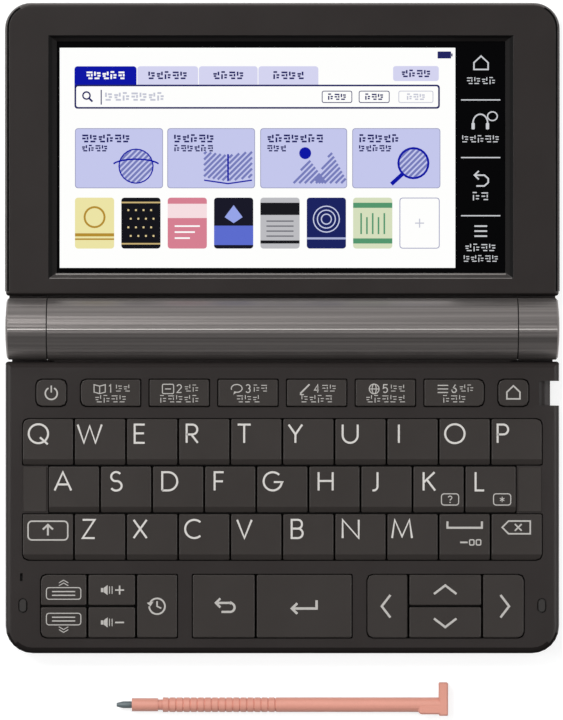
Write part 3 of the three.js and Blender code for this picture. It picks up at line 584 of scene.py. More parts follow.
class Pen:
    """Draws flat ink on one key, in millimetres from the middle of the key's top."""

    def __init__(self, centre, top, ink):
        self.cx, self.cy = centre
        self.low, self.high = top - ink, top + ink
        self.parts = []

    def placed(self, path):
        return [(self.cx + x * MM, self.cy + y * MM) for x, y in path]

    def line(self, path, width=0.32, closed=False):
        self.add(ribbon(self.placed(path), width * MM, self.low, self.high, closed))

    def fill(self, outline):
        self.add(prism(self.placed(outline), self.low, self.high))

    def add(self, part):
        self.parts.append((*part, 2))
        self.high += STROKE_STEP

    def signs(self, x, y, size, count, first=0):
        """A row of made-up signs whose upper left corner is at (x, y)."""
        for i in range(count):
            left = x + i * size * SIGN_STEP
            for x0, y0, x1, y1 in SIGNS[(first + i) % len(SIGNS)]:
                self.line([(left + x0 * size, y - y0 * size), (left + x1 * size, y - y1 * size)],
                          KEY_SIGN_STROKE * size)

    def frame(self, x0, y0, x1, y1, radius=0.6, width=0.3):
        self.line(rectangle(x0, y0, x1, y1, radius), width, closed=True)


def draw_power(pen):
    pen.line(arc(0, -0.15, 1.6, 1.6, 118, 422, 26), 0.4)
    pen.line([(0, 0.1), (0, 1.95)], 0.38)


def draw_home(pen):
    pen.line([(-1.75, -1.6), (1.75, -1.6), (1.75, 0.2), (0, 1.9), (-1.75, 0.2)], 0.4, closed=True)


def chevron(pen, x, y, dx, dy, spread=2.2, depth=1.1, width=0.34):
    """A thin arrowhead that points along (dx, dy)."""
    pen.line([(x - dx * depth - dy * spread, y - dy * depth - dx * spread), (x, y),
              (x - dx * depth + dy * spread, y - dy * depth + dx * spread)], width)


def draw_pages(pen, direction):
    """Two small arrowheads beside a boxed pair of text lines."""
    box_y = -0.9 * direction
    pen.frame(-4.6, box_y - 1.55, 4.6, box_y + 1.55, 0.7, 0.25)
    for row in (-0.5, 0.5):
        pen.line([(-3.1, box_y + row), (3.1, box_y + row)], 0.32)
    for step in (0, 0.75):
        chevron(pen, 0, (1.9 + step) * direction, 0, direction, 1.25, 0.75, 0.22)


def draw_volume(pen, louder):
    pen.fill([(-2.9, -0.55), (-2.2, -0.55), (-2.2, 0.55), (-2.9, 0.55)])
    pen.fill([(-2.1, -0.6), (-1.1, -1.35), (-1.1, 1.35), (-2.1, 0.6)])
    for x in (-0.6, 0.1):
        pen.line([(x, -1.0), (x, 1.0)], 0.22)
    pen.line([(0.9, 0), (3.3, 0)], 0.4)
    if louder:
        pen.line([(2.1, -1.2), (2.1, 1.2)], 0.4)


def draw_history(pen):
    pen.line(arc(0, 0, 2.1, 2.1, 150, -180, 26), 0.45)
    pen.line([(0, 1.35), (0, 0), (1.1, -0.55)], 0.4)
    pen.fill([(-2.75, 0.95), (-1.75, -0.05), (-0.95, 1.25)])


def draw_return(pen):
    """A bent arrow that turns back to the left."""
    pen.line([(-1.6, 0.9), (1.7, 0.9)] + arc(1.7, -0.3, 1.2, 1.2, 90, -90, 10) + [(-0.6, -1.5)], 0.6)
    chevron(pen, -2.1, 0.9, -1, 0, 1.2, 1.2, 0.6)


def draw_enter(pen):
    """The usual enter mark: down and to the left."""
    pen.line([(3.3, 1.6), (3.3, -0.6), (-2.8, -0.6)], 0.66)
    chevron(pen, -3.3, -0.6, -1, 0, 1.4, 1.45, 0.66)


def draw_shift(pen):
    pen.frame(-5.3, -0.75, 5.3, 4.25, 1.0, 0.38)
    pen.line([(0, 0.45), (0, 2.9)], 0.5)
    chevron(pen, 0, 3.3, 0, 1, 1.35, 1.25, 0.5)


def draw_space(pen):
    pen.line([(-4.6, 4.2), (-4.6, 2.5), (4.6, 2.5), (4.6, 4.2)], 0.56)
    pen.line([(-1.2, -1.4), (0.8, -1.4)], 0.44)
    for x in (1.9, 3.7):
        pen.frame(x - 0.6, -2.1, x + 0.6, -0.7, 0.3, 0.32)


def draw_delete(pen):
    pen.line([(-3.9, 2.6), (-2.2, 4.3), (3.6, 4.3), (3.6, 0.9), (-2.2, 0.9)], 0.4, closed=True)
    pen.line([(-0.5, 3.5), (1.3, 1.7)], 0.4)
    pen.line([(-0.5, 1.7), (1.3, 3.5)], 0.4)


def boxed_mark(pen, x, y, query):
    """A small rounded box on the K and L keys with a query mark or a star in it."""
    pen.frame(x - 2.3, y - 1.5, x + 2.3, y + 1.5, 0.7, 0.26)
    if query:
        pen.line(arc(x, y + 0.45, 0.5, 0.45, 170, -80, 9) + [(x, y - 0.3)], 0.25)
        pen.fill(rectangle(x - 0.16, y - 0.95, x + 0.16, y - 0.65))
        return
    for angle in (90, 210, 330):
        reach_x, reach_y = 0.7 * math.cos(math.radians(angle)), 0.7 * math.sin(math.radians(angle))
        pen.line([(x - reach_x, y - reach_y), (x + reach_x, y + reach_y)], 0.22)


def draw_number(pen, number, x, y, height=1.7, width=0.3):
    """A small numeral from straight strokes and arcs."""
    h, w = height, height * 0.56
    strokes = {
        1: [[(w * 0.2, h * 0.8), (w * 0.55, h), (w * 0.55, 0)]],
        2: [arc(w / 2, h * 0.72, w / 2, h * 0.28, 165, -20, 10) + [(0, 0), (w, 0)]],
        3: [arc(w / 2, h * 0.74, w * 0.46, h * 0.26, 150, -80, 10),
            arc(w / 2, h * 0.27, w / 2, h * 0.27, 80, -150, 10)],
        4: [[(w * 0.75, 0), (w * 0.75, h), (0, h * 0.3), (w, h * 0.3)]],
        5: [[(w, h), (w * 0.12, h), (0, h * 0.5)] + arc(w * 0.45, h * 0.32, w * 0.52, h * 0.32, 110, -140, 11)],
        6: [[(w * 0.8, h), (w * 0.08, h * 0.4)] + arc(w / 2, h * 0.28, w / 2, h * 0.28, 165, -190, 18)],
    }
    for path in strokes[number]:
        pen.line([(x + px, y + py) for px, py in path], width)


def draw_shortcut(pen, number):
    """A pictogram, a numeral and made-up signs in two rows, one for each shortcut."""
    symbols = {
        1: lambda: [pen.line([(-4.4, 0.2), (-4.4, 2.2), (-2.9, 1.8), (-1.4, 2.2), (-1.4, 0.2), (-2.9, -0.2)],
                             0.25, True),
                    pen.line([(-2.9, 1.8), (-2.9, -0.2)], 0.26)],
        2: lambda: [pen.frame(-4.5, -0.2, -1.5, 2.3, 0.35, 0.25), pen.line([(-3.8, 1.05), (-2.2, 1.05)], 0.26)],
        3: lambda: [pen.line(arc(-3.0, 1.2, 1.45, 1.05, 240, 560, 20), 0.26),
                    pen.fill([(-3.7, 0.4), (-2.9, 0.3), (-3.9, -0.5)])],
        4: lambda: [pen.line([(-4.4, -0.2), (-1.9, 2.3)], 0.42), pen.line([(-4.5, -0.45), (-3.4, -0.45)], 0.26)],
        5: lambda: [pen.line(arc(-3.0, 1.05, 1.3, 1.3, 0, 348, 24), 0.26, True),
                    pen.line([(-4.3, 1.05), (-1.7, 1.05)], 0.24),
                    pen.line(arc(-3.0, 1.05, 0.55, 1.3, 0, 340, 16), 0.24, True)],
        6: lambda: [pen.line([(-4.4, y), (-1.6, y)], 0.28) for y in (0.1, 1.05, 2.0)],
    }
    symbols[number]()
    draw_number(pen, number, -0.6, 0.1, 2.1, 0.28)
    pen.signs(1.3, 2.2, 1.9, 2, number)
    count = 3 + number % 3
    pen.signs(-(count * SIGN_STEP - 0.08), -0.6, 2.0, count, number + 1)


KEY_DRAWINGS = {
    "key_power": draw_power, "key_home": draw_home,
    "key_previous": lambda pen: draw_pages(pen, 1), "key_next": lambda pen: draw_pages(pen, -1),
    "key_volume_up": lambda pen: draw_volume(pen, True), "key_volume_down": lambda pen: draw_volume(pen, False),
    "key_history": draw_history, "key_back": draw_return, "key_enter": draw_enter,
    "key_left": lambda pen: chevron(pen, -1.5, 0, -1, 0, 3.0, 2.3, 0.6),
    "key_right": lambda pen: chevron(pen, 1.5, 0, 1, 0, 3.0, 2.3, 0.6),
    "key_up": lambda pen: chevron(pen, 0, 1.25, 0, 1, 3.0, 2.3, 0.6),
    "key_down": lambda pen: chevron(pen, 0, -1.25, 0, -1, 3.0, 2.3, 0.6),
    "key_k": lambda pen: boxed_mark(pen, 3.05, -2.65, True),
    "key_l": lambda pen: boxed_mark(pen, 3.05, -2.65, False),
    "key_shift": draw_shift, "key_space": draw_space, "key_delete": draw_delete,
}


def letter_parts(letter, key_left, key_rear, top, sizes):
    """A capital's strokes on its key, as mesh parts."""
    left_px, width_px = LETTER_PLACES[letter]
    stroke = sizes.stroke
    tall = sizes.letter - stroke
    wide = width_px * PX - stroke
    x0 = key_left + left_px * PX + stroke / 2
    y0 = key_rear - LETTER_FROM_REAR_PX * PX - sizes.letter + stroke / 2
    parts = []
    for i, path in enumerate(letter_strokes(letter, wide / tall)):
        closed = letter in CLOSED_LETTERS and len(path) > 10
        placed = [(x0 + x * tall, y0 + y * tall) for x, y in path]
        parts.append((*ribbon(placed, stroke, top - sizes.ink, top + sizes.ink + i * STROKE_STEP, closed), 1))
    return parts


KEY_GAP = 0.22 * MM


class DICTIONARY_OT_keys(bpy.types.Operator):
    """Key caps with softened edges and their printed legends, one piece for each key"""
    bl_idname = "dictionary.keys"
    bl_label = "Keys"

    def execute(self, context):
        sizes = context.scene.dictionary_sizes
        for node in sorted(name for name in frame["nodes"] if name.startswith("key_")):
            low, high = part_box(node)
            top = high[2]
            cap = softened(node, sizes.edge)
            parts = [([tuple(point.co) for point in cap.vertices], [list(face.vertices) for face in cap.polygons])]
            bpy.data.meshes.remove(cap)
            letter = node.removeprefix("key_").upper()
            if letter in LETTER_PLACES:
                parts += letter_parts(letter, low[0] - KEY_GAP, high[1] + KEY_GAP, top, sizes)
            pen = Pen(((low[0] + high[0]) / 2, (low[1] + high[1]) / 2), top, sizes.ink)
            if node.startswith("key_shortcut_"):
                draw_shortcut(pen, int(node[-1]))
            elif node in KEY_DRAWINGS:
                KEY_DRAWINGS[node](pen)
            name = node.replace("key_", "cap_")
            mesh = shade(joined(name, parts + pen.parts))
            new_piece(name, mesh, node, ["key_plastic", "legend_ink", "mark_ink"], [node])
        return {"FINISHED"}


# Cases: where their finishes begin and end

WELL_TOP = 9.3 * MM
WELL_FROM_SIDE, WELL_FROM_FRONT, WELL_FROM_REAR = 5.7 * MM, 3 * MM, 4 * MM
CASE_TOP = 9.5 * MM
BUMPER_FROM_SIDE, BUMPER_FROM_FRONT = 4.7 * MM, 12.8 * MM
BUMPER_HALF, BUMPER_DEPTH = (1.0 * MM, 1.8 * MM), 0.7 * MM
SLIT_FROM_SIDE, SLIT_FROM_FRONT, SLIT_HALF = 4.3 * MM, 20.4 * MM, (0.5 * MM, 1.3 * MM)
SLIT_LOW, SLIT_HIGH = CASE_TOP - 0.88 * MM, CASE_TOP - 0.1 * MM
WINDOW = (photo_x(48.4), photo_x(513), photo_y(278.6), photo_y(35.8))
WINDOW_PLAY = 0.12 * MM
BASE_CORNER, LID_CORNER = 7.3 * MM, 6.7 * MM
BASE_EDGE_REACH, LID_EDGE_REACH, SLOPE_REACH = 1.7 * MM, 0.7 * MM, 2.5 * MM
RIM_FROM_WINDOW, RIM_FROM_NEAR, SIDE_START = 2 * MM, 3 * MM, 1.2 * MM
PAD_RISE = 0.02 * MM


def in_opening(centre, normal):
    """Walls and floor of the openings round the keys, and the microphone's slit, painted near-black as painted shade.
    """
    well = abs(centre.x) < HALF_WIDTH - WELL_FROM_SIDE and centre.z < WELL_TOP
    well = well and BASE_LOW[1] + WELL_FROM_FRONT < centre.y < BASE_HIGH[1] - WELL_FROM_REAR
    beside = abs(centre.x + HALF_WIDTH - SLIT_FROM_SIDE) < SLIT_HALF[0]
    along = abs(centre.y - BASE_LOW[1] - SLIT_FROM_FRONT) < SLIT_HALF[1]
    return well or (beside and along and SLIT_LOW < centre.z < SLIT_HIGH)


def on_bumper(centre, normal):
    """The two rubber pads that the closed lid comes down on."""
    beside = abs(abs(centre.x) - (HALF_WIDTH - BUMPER_FROM_SIDE)) < BUMPER_HALF[0]
    along = abs(centre.y - BASE_LOW[1] - BUMPER_FROM_FRONT) < BUMPER_HALF[1]
    return beside and along and centre.z > CASE_TOP - BUMPER_DEPTH


def on_rear_edge(centre, normal):
    """The rounded rear edge of the deck, dull where it faces the barrel."""
    return centre.y > BASE_HIGH[1] - BASE_EDGE_REACH and normal.y > 0.1


def on_front_edge(centre, normal):
    """The rounded front edge of the deck with its corners, painted darker as painted shade."""
    beyond_x = max(abs(centre.x) - HALF_WIDTH + BASE_CORNER, 0)
    beyond_y = max(BASE_LOW[1] + BASE_CORNER - centre.y, 0)
    outer = math.hypot(beyond_x, beyond_y) > BASE_CORNER - BASE_EDGE_REACH
    return outer and normal.y < -0.2 and normal.z > 0.1


def on_lid_near_edge(centre, normal):
    """The rounded edge of the lid that faces the barrel, painted darker as painted shade as well."""
    return centre.y < LID_LOW[1] + LID_EDGE_REACH and normal.y < -0.4


def on_lid_rim(centre, normal):
    """The steeper part of the lid's rounded edge at its sides and far end, painted lighter than the lid: a painted
    highlight.
    """
    left, right, _, far = WINDOW
    beside = centre.x < left - RIM_FROM_WINDOW or centre.x > right + RIM_FROM_WINDOW
    outside = beside or centre.y > far + RIM_FROM_WINDOW
    return outside and centre.y > LID_LOW[1] + RIM_FROM_NEAR and 0.02 < normal.z < 0.85


def on_filler(centre, normal):
    """The blank pads at the ends of the middle letter row stand above the case."""
    return centre.z > CASE_TOP + PAD_RISE and not on_bumper(centre, normal)


def on_screen_frame(centre, normal):
    """The glossy slope round the display."""
    left, right, near, far = WINDOW
    across = left - WINDOW_PLAY < centre.x < right + WINDOW_PLAY
    along = near - WINDOW_PLAY < centre.y < far + WINDOW_PLAY
    return across and along and normal.z < 0.999


def on_near_slope(centre, normal):
    """The slope on the keyboard's side of the display, painted lighter where it catches the light: a painted
    highlight.
    """
    return on_screen_frame(centre, normal) and centre.y < WINDOW[2] + SLOPE_REACH and normal.y > 0.2


def lid_side(inset, far_inset, turn):
    """Path along the lid's right side and round its far corner by an angle."""
    x, far, radius = HALF_WIDTH - inset, LID_HIGH[1] - far_inset, LID_CORNER - inset
    return [(x, LID_LOW[1] + SIDE_START)] + arc(x - radius, far - radius, radius, radius, 0, turn, 10)


def ramp(start, end, far, near, low, rise, depth):
    """A thin strip along X whose top leans away from the keyboard."""
    section = ((near, low - depth), (far, low - depth), (far, low), (near, low + rise))
    return skin([[(x, y, z) for y, z in section] for x in (start, end)])


def mirrored(path):
    return [(-x, y) for x, y in reversed(path)]


# a near-black strip just inside the lid's edge: painted shade in place of a groove
LINE_INSET, LINE_WIDTH, LINE_TURN = 0.6 * MM, 0.5 * MM, 62
LINE_LOW, LINE_HIGH = LID_HIGH[2] - 0.4 * MM, LID_HIGH[2] - 0.05 * MM
# a light grey band round the lid's outer rim, below its top: a painted highlight
RIM_INSETS, RIM_WIDTH = (-0.08 * MM, 0.06 * MM), 0.34 * MM
RIM_LOW, RIM_HIGH = LID_HIGH[2] - 2.6 * MM, LID_HIGH[2] - 1.3 * MM
# the trims are tilted to catch the light and are also painted light grey: painted highlights
# the fine edges on the near slope of the screen's frame, in millimetres: distance from the window's sides, far and
# near edge from its near side, height from the lid's top, rise and depth
TRIMS = ((1.9, 1.4, 0.98, -0.93, 0.11, 0.3), (0.3, 0.18, -0.01, -0.05, 0.06, 0.2))


class DICTIONARY_OT_cases(bpy.types.Operator):
    """Base and lid mouldings with softened edges, key wells painted dark as shade, rubber bumpers and the screen's
    glossy frame, with painted shade and painted highlights on their edges
    """
    bl_idname = "dictionary.cases"
    bl_label = "Cases"

    def execute(self, context):
        edge = context.scene.dictionary_sizes.edge
        dress("keyboard_deck", "base_top_case", edge, "base", {
            "case_plastic": None, "key_well": in_opening, "rubber": on_bumper, "key_plastic": on_filler,
            "case_dull": on_rear_edge, "case_shade": on_front_edge})
        dress("base_tray", "base_bottom_case", edge, "base", {"case_plastic": None})
        dress("lid_shell", "lid_back_cover", edge, "lid", {
            "lid_plastic": None, "barrel_metal": on_knuckle, "barrel_cap": on_knuckle_end})
        dress("screen_bezel", "lid_bezel", edge, "lid", {
            "lid_plastic": None, "inner_frame": on_screen_frame, "lid_rim": on_lid_rim, "case_shade": on_lid_near_edge,
            "frame_near": on_near_slope})
        # the near-black line is painted shade standing in for a groove
        side = lid_side(LINE_INSET, LINE_INSET, LINE_TURN)
        lines = [ribbon(path, LINE_WIDTH, LINE_LOW, LINE_HIGH) for path in (side, mirrored(side))]
        solid_piece("lid_line", lines, "lid", "rim_groove")
        # the light grey band round the outer rim is a painted highlight
        side = lid_side(*RIM_INSETS, 90)
        band = ribbon(side + mirrored(side), RIM_WIDTH, RIM_LOW, RIM_HIGH)
        solid_piece("lid_rim_band", [band], "lid", "rim_band")
        left, right, near, _ = WINDOW
        # the trims' light grey is a painted highlight on their edges
        trims = []
        for inset, *places in TRIMS:
            far_edge, near_edge, top, rise, depth = (place * MM for place in places)
            trims.append(ramp(left + inset * MM, right - inset * MM, near + far_edge, near + near_edge,
                              LID_HIGH[2] + top, rise, depth))
        solid_piece("screen_trim", trims, "lid", "frame_edge")
        return {"FINISHED"}


# Geometry node groups, and the mesh that one of them makes


def geometry_group(name, labels, others=()):
    """An empty geometry node group: numbers by their labels, other inputs with their sorts, and a material."""
    inputs = [(label, "Float") for label in labels] + [*others, ("Material", "Material")]
    return group_tree(name, "GeometryNodeTree", inputs, (("Geometry", "Geometry"),))


def end_geometry(tree, given, outlet, geometry):
    """Ends a geometry group in Realize Instances and Set Material."""
    realize = add_node(tree, "GeometryNodeRealizeInstances", {"Geometry": geometry})
    finish = add_node(tree, "GeometryNodeSetMaterial",
                      {"Geometry": realize.outputs["Geometry"], "Material": given["Material"]})
    feed(tree, outlet.inputs["Geometry"], finish.outputs["Geometry"])
    return tree


def made_by_nodes(name, group, finish, values, points=()):
    """The mesh that a geometry node group makes, its inputs set by their sockets' identifiers."""
    mesh = bpy.data.meshes.new(name)
    mesh.from_pydata(points, [], [])
    working = linked(name, mesh)
    modifier = working.modifiers.new("nodes", "NODES")
    modifier.node_group = group()
    values = {**values, "Material": material(finish)}
    for item in modifier.node_group.interface.items_tree:
        if item.in_out == "INPUT" and item.name in values:
            modifier[item.identifier] = values[item.name]
    return evaluated_mesh(working, name)


@made_once
def ribbed_sheet(name):
    """A lengthwise ribbed arc of sheet round a line parallel to X; every fourth line of points is a groove."""
    tree, given, outlet = geometry_group(name, (
        "Start X", "End X", "Radius", "Rib Depth", "Start Angle", "End Angle", "Axis Y", "Axis Z"), [("Ribs", "Int")])

    def calc(operation, *values):
        return math_node(tree, operation, *values)

    def between(start, end, share):
        return calc("MULTIPLY_ADD", share, calc("SUBTRACT", given[end], given[start]), given[start])

    steps = calc("MULTIPLY", given["Ribs"], 4)
    grid = add_node(tree, "GeometryNodeMeshGrid",
                    {"Size X": 1, "Size Y": 1, "Vertices X": 2, "Vertices Y": calc("ADD", steps, 1)})
    place = add_node(tree, "GeometryNodeInputPosition").outputs["Position"]
    split = add_node(tree, "ShaderNodeSeparateXYZ", {"Vector": place}).outputs
    along, around = calc("ADD", split["X"], 0.5), calc("ADD", split["Y"], 0.5)
    groove = calc("COMPARE", calc("MODULO", calc("ROUND", calc("MULTIPLY", around, steps)), 4), 0, 0.5)
    radius = calc("SUBTRACT", given["Radius"], calc("MULTIPLY", groove, given["Rib Depth"]))
    angle = between("Start Angle", "End Angle", around)
    spot = add_node(tree, "ShaderNodeCombineXYZ", {
        "X": between("Start X", "End X", along),
        "Y": calc("MULTIPLY_ADD", radius, calc("COSINE", angle), given["Axis Y"]),
        "Z": calc("MULTIPLY_ADD", radius, calc("SINE", angle), given["Axis Z"])})
    move = add_node(tree, "GeometryNodeSetPosition",
                    {"Geometry": grid.outputs["Mesh"], "Position": spot.outputs["Vector"]})
    return end_geometry(tree, given, outlet, move.outputs["Geometry"])


# Barrel

# the step on the crown leans towards the rear lamp and is painted lighter than the barrel: a painted highlight
CROWN_FAR, CROWN_NEAR, CROWN_RISE, CROWN_DEPTH = 0.16 * MM, -0.28 * MM, 0.12 * MM, 0.3 * MM
CROWN_LOW = AXIS_Z + BARREL_RADIUS + 0.02 * MM
SLEEVE_PROUD = 0.06 * MM


def ribbed_barrel(name, line_name, start, end, angles, body):
    """A closed sleeve with lengthwise lines, and the step on its crown: a narrow face that shines, painted lighter
    than the sleeve as a painted highlight.
    """
    sizes = bpy.context.scene.dictionary_sizes
    first, last = (math.radians(angle) for angle in angles)
    radius = BARREL_RADIUS + SLEEVE_PROUD
    mesh = made_by_nodes(name, ribbed_sheet, "barrel_metal", {
        "Start X": start, "End X": end, "Radius": radius, "Ribs": round(radius * (last - first) / sizes.rib_pitch),
        "Rib Depth": sizes.rib_depth, "Start Angle": first, "End Angle": last, "Axis Y": AXIS_Y, "Axis Z": AXIS_Z})
    # the sheet gets its thickness inwards and closed edges
    form = bmesh.new()
    form.from_mesh(mesh)
    inner = bmesh.ops.duplicate(form, geom=list(form.faces))["geom"]
    for point in inner:
        if isinstance(point, bmesh.types.BMVert):
            out = Vector((0, point.co.y - AXIS_Y, point.co.z - AXIS_Z)).normalized()
            point.co = Vector((point.co.x, AXIS_Y, AXIS_Z)) + out * (BARREL_RADIUS - SLEEVE_PROUD)
    bmesh.ops.bridge_loops(form, edges=[edge for edge in form.edges if edge.is_boundary])
    bmesh.ops.recalc_face_normals(form, faces=form.faces)
    form.to_mesh(mesh)
    form.free()
    new_piece(name, shade(mesh, SLEEVE_SHARP), body, ["barrel_metal"])
    crown = ramp(start, end, AXIS_Y + CROWN_FAR, AXIS_Y + CROWN_NEAR, CROWN_LOW, CROWN_RISE, CROWN_DEPTH)
    solid_piece(line_name, [crown], body, "bright_line")


def ring_solid(outer, inner, start, end):
    """A closed ring along X between two outlines in Y and Z with like numbers of points."""
    return skin([[(x, y, z) for y, z in outline]
                 for outline, x in ((outer, start), (outer, end), (inner, end), (inner, start))], True)


def barrel_circle(radius, count=48):
    angles = [math.tau * i / count for i in range(count)]
    return [(AXIS_Y + radius * math.cos(a), AXIS_Z + radius * math.sin(a)) for a in angles]


SEAM_FROM_SIDE, SEAM = 11.05 * MM, 0.3 * MM
KNUCKLE_EDGE = 0.87 * MM
WASHER_RADIUS, WASHER_BORE, WASHER_HALF = 8.14 * MM, 4.3 * MM, 0.12 * MM
SLEEVE_SHARP = math.radians(25)
SPINE_ANGLES, KNUCKLE_ANGLES = (-10, 190), (-14, 286)


def off_barrel(centre, normal):
    """Whatever stands outside the barrel's round: skirt, tongue and arms."""
    return math.hypot(centre.y - AXIS_Y, centre.z - AXIS_Z) > BARREL_RADIUS + 0.05 * MM


def on_knuckle(centre, normal):
    return abs(centre.x) > HALF_WIDTH - SEAM_FROM_SIDE - 0.01 * MM and not off_barrel(centre, normal)


def on_knuckle_end(centre, normal):
    return abs(normal.x) > 0.5 and on_knuckle(centre, normal)


class DICTIONARY_OT_barrel(bpy.types.Operator):
    """Hinge barrel: spine, battery cover, and the ribbed metallic sleeves over spine and knuckles"""
    bl_idname = "dictionary.barrel"
    bl_label = "Barrel"

    def execute(self, context):
        dress("spine", "spine_shell", 0, "base", {"barrel_metal": None, "case_plastic": off_barrel})
        dress("battery-door", "battery_cover", 0, "battery_cover", {"case_plastic": None})
        seam, knuckle_end = HALF_WIDTH - SEAM_FROM_SIDE, HALF_WIDTH - KNUCKLE_EDGE
        spine_end = seam - SEAM
        ribbed_barrel("spine_sleeve", "spine_line", -spine_end, spine_end, SPINE_ANGLES, "base")
        # near-black discs that close the seams between spine and knuckles: painted shade of the seams
        outer, inner = barrel_circle(WASHER_RADIUS), barrel_circle(WASHER_BORE)
        for side, sign in (("left", -1), ("right", 1)):
            start = sign * (seam - SEAM / 2) - WASHER_HALF
            washer = ring_solid(outer, inner, start, start + 2 * WASHER_HALF)
            solid_piece("hinge_washer_" + side, [washer], "base", "seam_black")
        for side, first, last in (("left", -knuckle_end, -seam), ("right", seam, knuckle_end)):
            ribbed_barrel("knuckle_sleeve_" + side, "knuckle_line_" + side, first, last, KNUCKLE_ANGLES, "lid")
        return {"FINISHED"}


# Display: the lit picture, placed by pixels of the photograph

ACTIVE_LEFT_PX, ACTIVE_RIGHT_PX = 59.5, 455.5
ACTIVE_TOP_PX, ACTIVE_BOTTOM_PX = 47.5, 267.8
LAYER, PANEL_EDGE = 0.012 * MM, 0.1 * MM


class Picture:
    """Collects flat coloured shapes of the display, placed by pixels of the photograph."""

    def __init__(self, floor):
        self.floor = floor
        self.parts = []
        self.tints = []

    def heights(self, level):
        low = self.floor + level * LAYER
        return low, low + LAYER

    def add(self, part, tint):
        self.parts.append(part)
        self.tints += [tint] * len(part[1])

    def panel(self, x0, y0, x1, y1, tint, level=1, radius=0.0):
        outline = rectangle(photo_x(x0), photo_y(y1), photo_x(x1), photo_y(y0), radius * PX)
        self.add(prism(outline, *self.heights(level)), tint)

    def stroke(self, path, width, tint, level=2, closed=False):
        placed = [(photo_x(x), photo_y(y)) for x, y in path]
        self.add(ribbon(placed, width * PX, *self.heights(level), closed), tint)

    def shape(self, path, tint, level=2):
        placed = [(photo_x(x), photo_y(y)) for x, y in path]
        self.add(prism(placed, *self.heights(level)), tint)

    def mesh(self, name):
        mesh = joined(name, self.parts)
        layer = mesh.color_attributes.new("picture", "FLOAT_COLOR", "CORNER")
        for polygon, tint in zip(mesh.polygons, self.tints):
            for loop in polygon.loop_indices:
                layer.data[loop].color = (*tint, 1)
        return mesh


WHITE = srgb(254, 254, 253)
NAVY = srgb(15, 23, 164)
INK = srgb(36, 38, 96)
LAVENDER = srgb(196, 199, 236)
TAB = srgb(212, 212, 240)
TILE_EDGE = srgb(150, 152, 186)
PALE_INK = srgb(196, 198, 212)
SLATE = srgb(118, 124, 186)
STRIP_WHITE = srgb(204, 206, 210)


def signs(picture, x, y, size, count, tint, level=2, first=0, weight=SCREEN_SIGN_STROKE):
    """A row of made-up signs."""
    for i in range(count):
        left = x + i * size * SIGN_STEP
        for x0, y0, x1, y1 in SIGNS[(first + i) % len(SIGNS)]:
            path = [(left + x0 * size, y + y0 * size), (left + x1 * size, y + y1 * size)]
            picture.stroke(path, weight * size, tint, level)


def middle_signs(picture, x0, x1, y, size, count, tint, level=2, first=0):
    width = size * (SIGN_STEP * (count - 1) + 1)
    signs(picture, (x0 + x1 - width) / 2, y, size, count, tint, level, first)


def ring_points(cx, cy, rx, ry, count=24):
    return [(cx + rx * math.cos(a * math.tau / count), cy - ry * math.sin(a * math.tau / count)) for a in range(count)]


def picture_tabs(picture):
    """Four tabs, a button and the battery sign over the search field."""
    for i, (x0, x1) in enumerate(((74.3, 136.4), (137.2, 198), (198.8, 257.6), (258.4, 318.4))):
        picture.panel(x0, 66, x1, 90, NAVY if i == 0 else TAB, 1, 3)
        middle_signs(picture, x0, x1, 71.4, 7.4, (5, 5, 4, 4)[i], WHITE if i == 0 else INK, 2, i)
    picture.panel(393.2, 65.8, 438.9, 80.8, TAB, 1, 2.5)
    middle_signs(picture, 393.2, 438.9, 69.8, 7, 4, INK, 2, 2)
    picture.panel(437.7, 51.2, 451.2, 58.2, INK, 1, 0.6)
    picture.panel(451.4, 53.2, 452.7, 56.2, INK, 1)


def picture_search(picture):
    """The outlined field with a lens, a cursor, pale writing and three small boxes."""
    picture.panel(74.3, 84.4, 440, 108.5, INK, 2, 3)
    picture.panel(76, 86.1, 438.3, 106.8, WHITE, 3, 2)
    picture.stroke(ring_points(86.3, 95.3, 3.6, 3.6, 16), 1.5, INK, 4, closed=True)
    picture.stroke([(88.9, 98), (92.3, 101.4)], 1.9, INK, 4)
    picture.panel(100.5, 89.6, 101.6, 104.4, INK, 4)
    signs(picture, 104.6, 92.4, 8, 7, PALE_INK, 4, 1)
    for x0, x1, edge in ((321.8, 352.3, INK), (358.8, 389.7, INK), (398.5, 433.5, PALE_INK)):
        picture.panel(x0, 90.5, x1, 102.7, edge, 4, 2)
        picture.panel(x0 + 0.8, 91.3, x1 - 0.8, 101.9, WHITE, 5, 1.4)
        middle_signs(picture, x0, x1, 93.6, 6, 3, edge, 6, 3)


def hatched(picture, outline, tint, level, pitch=5.6, width=2.3):
    """Slanting lines kept within a convex outline."""
    offsets = [x + y for x, y in outline]
    count = int((max(offsets) - min(offsets)) / pitch)
    for i in range(count):
        offset = min(offsets) + (i + 0.5) * pitch
        ends = []
        for (x0, y0), (x1, y1) in zip(outline, outline[1:] + outline[:1]):
            a, b = x0 + y0 - offset, x1 + y1 - offset
            if a * b < 0:
                share = a / (a - b)
                ends.append((x0 + (x1 - x0) * share, y0 + (y1 - y0) * share))
        if len(ends) == 2 and math.dist(*ends) > 1.5:
            picture.stroke(sorted(ends), width, tint, level)


def tile_globe(picture, cx, cy):
    hatched(picture, ring_points(cx, cy, 17, 17), SLATE, 3)
    picture.stroke(ring_points(cx, cy, 17, 17), 1.3, NAVY, 4, closed=True)
    picture.stroke(arc(cx, cy, 24, 7, 200, 340, 14), 1.6, NAVY, 4)


def tile_book(picture, cx, cy):
    for side in (-1, 1):
        page = [(cx + side, cy + 15), (cx + side * 24, cy + 11), (cx + side * 24, cy - 15), (cx + side, cy - 11)]
        hatched(picture, page, SLATE, 3)
    picture.stroke([(cx, cy - 12), (cx, cy + 15)], 1.8, NAVY, 4)
    picture.stroke([(cx - 24, cy + 14), (cx, cy + 17.5), (cx + 24, cy + 14)], 1.4, NAVY, 4)


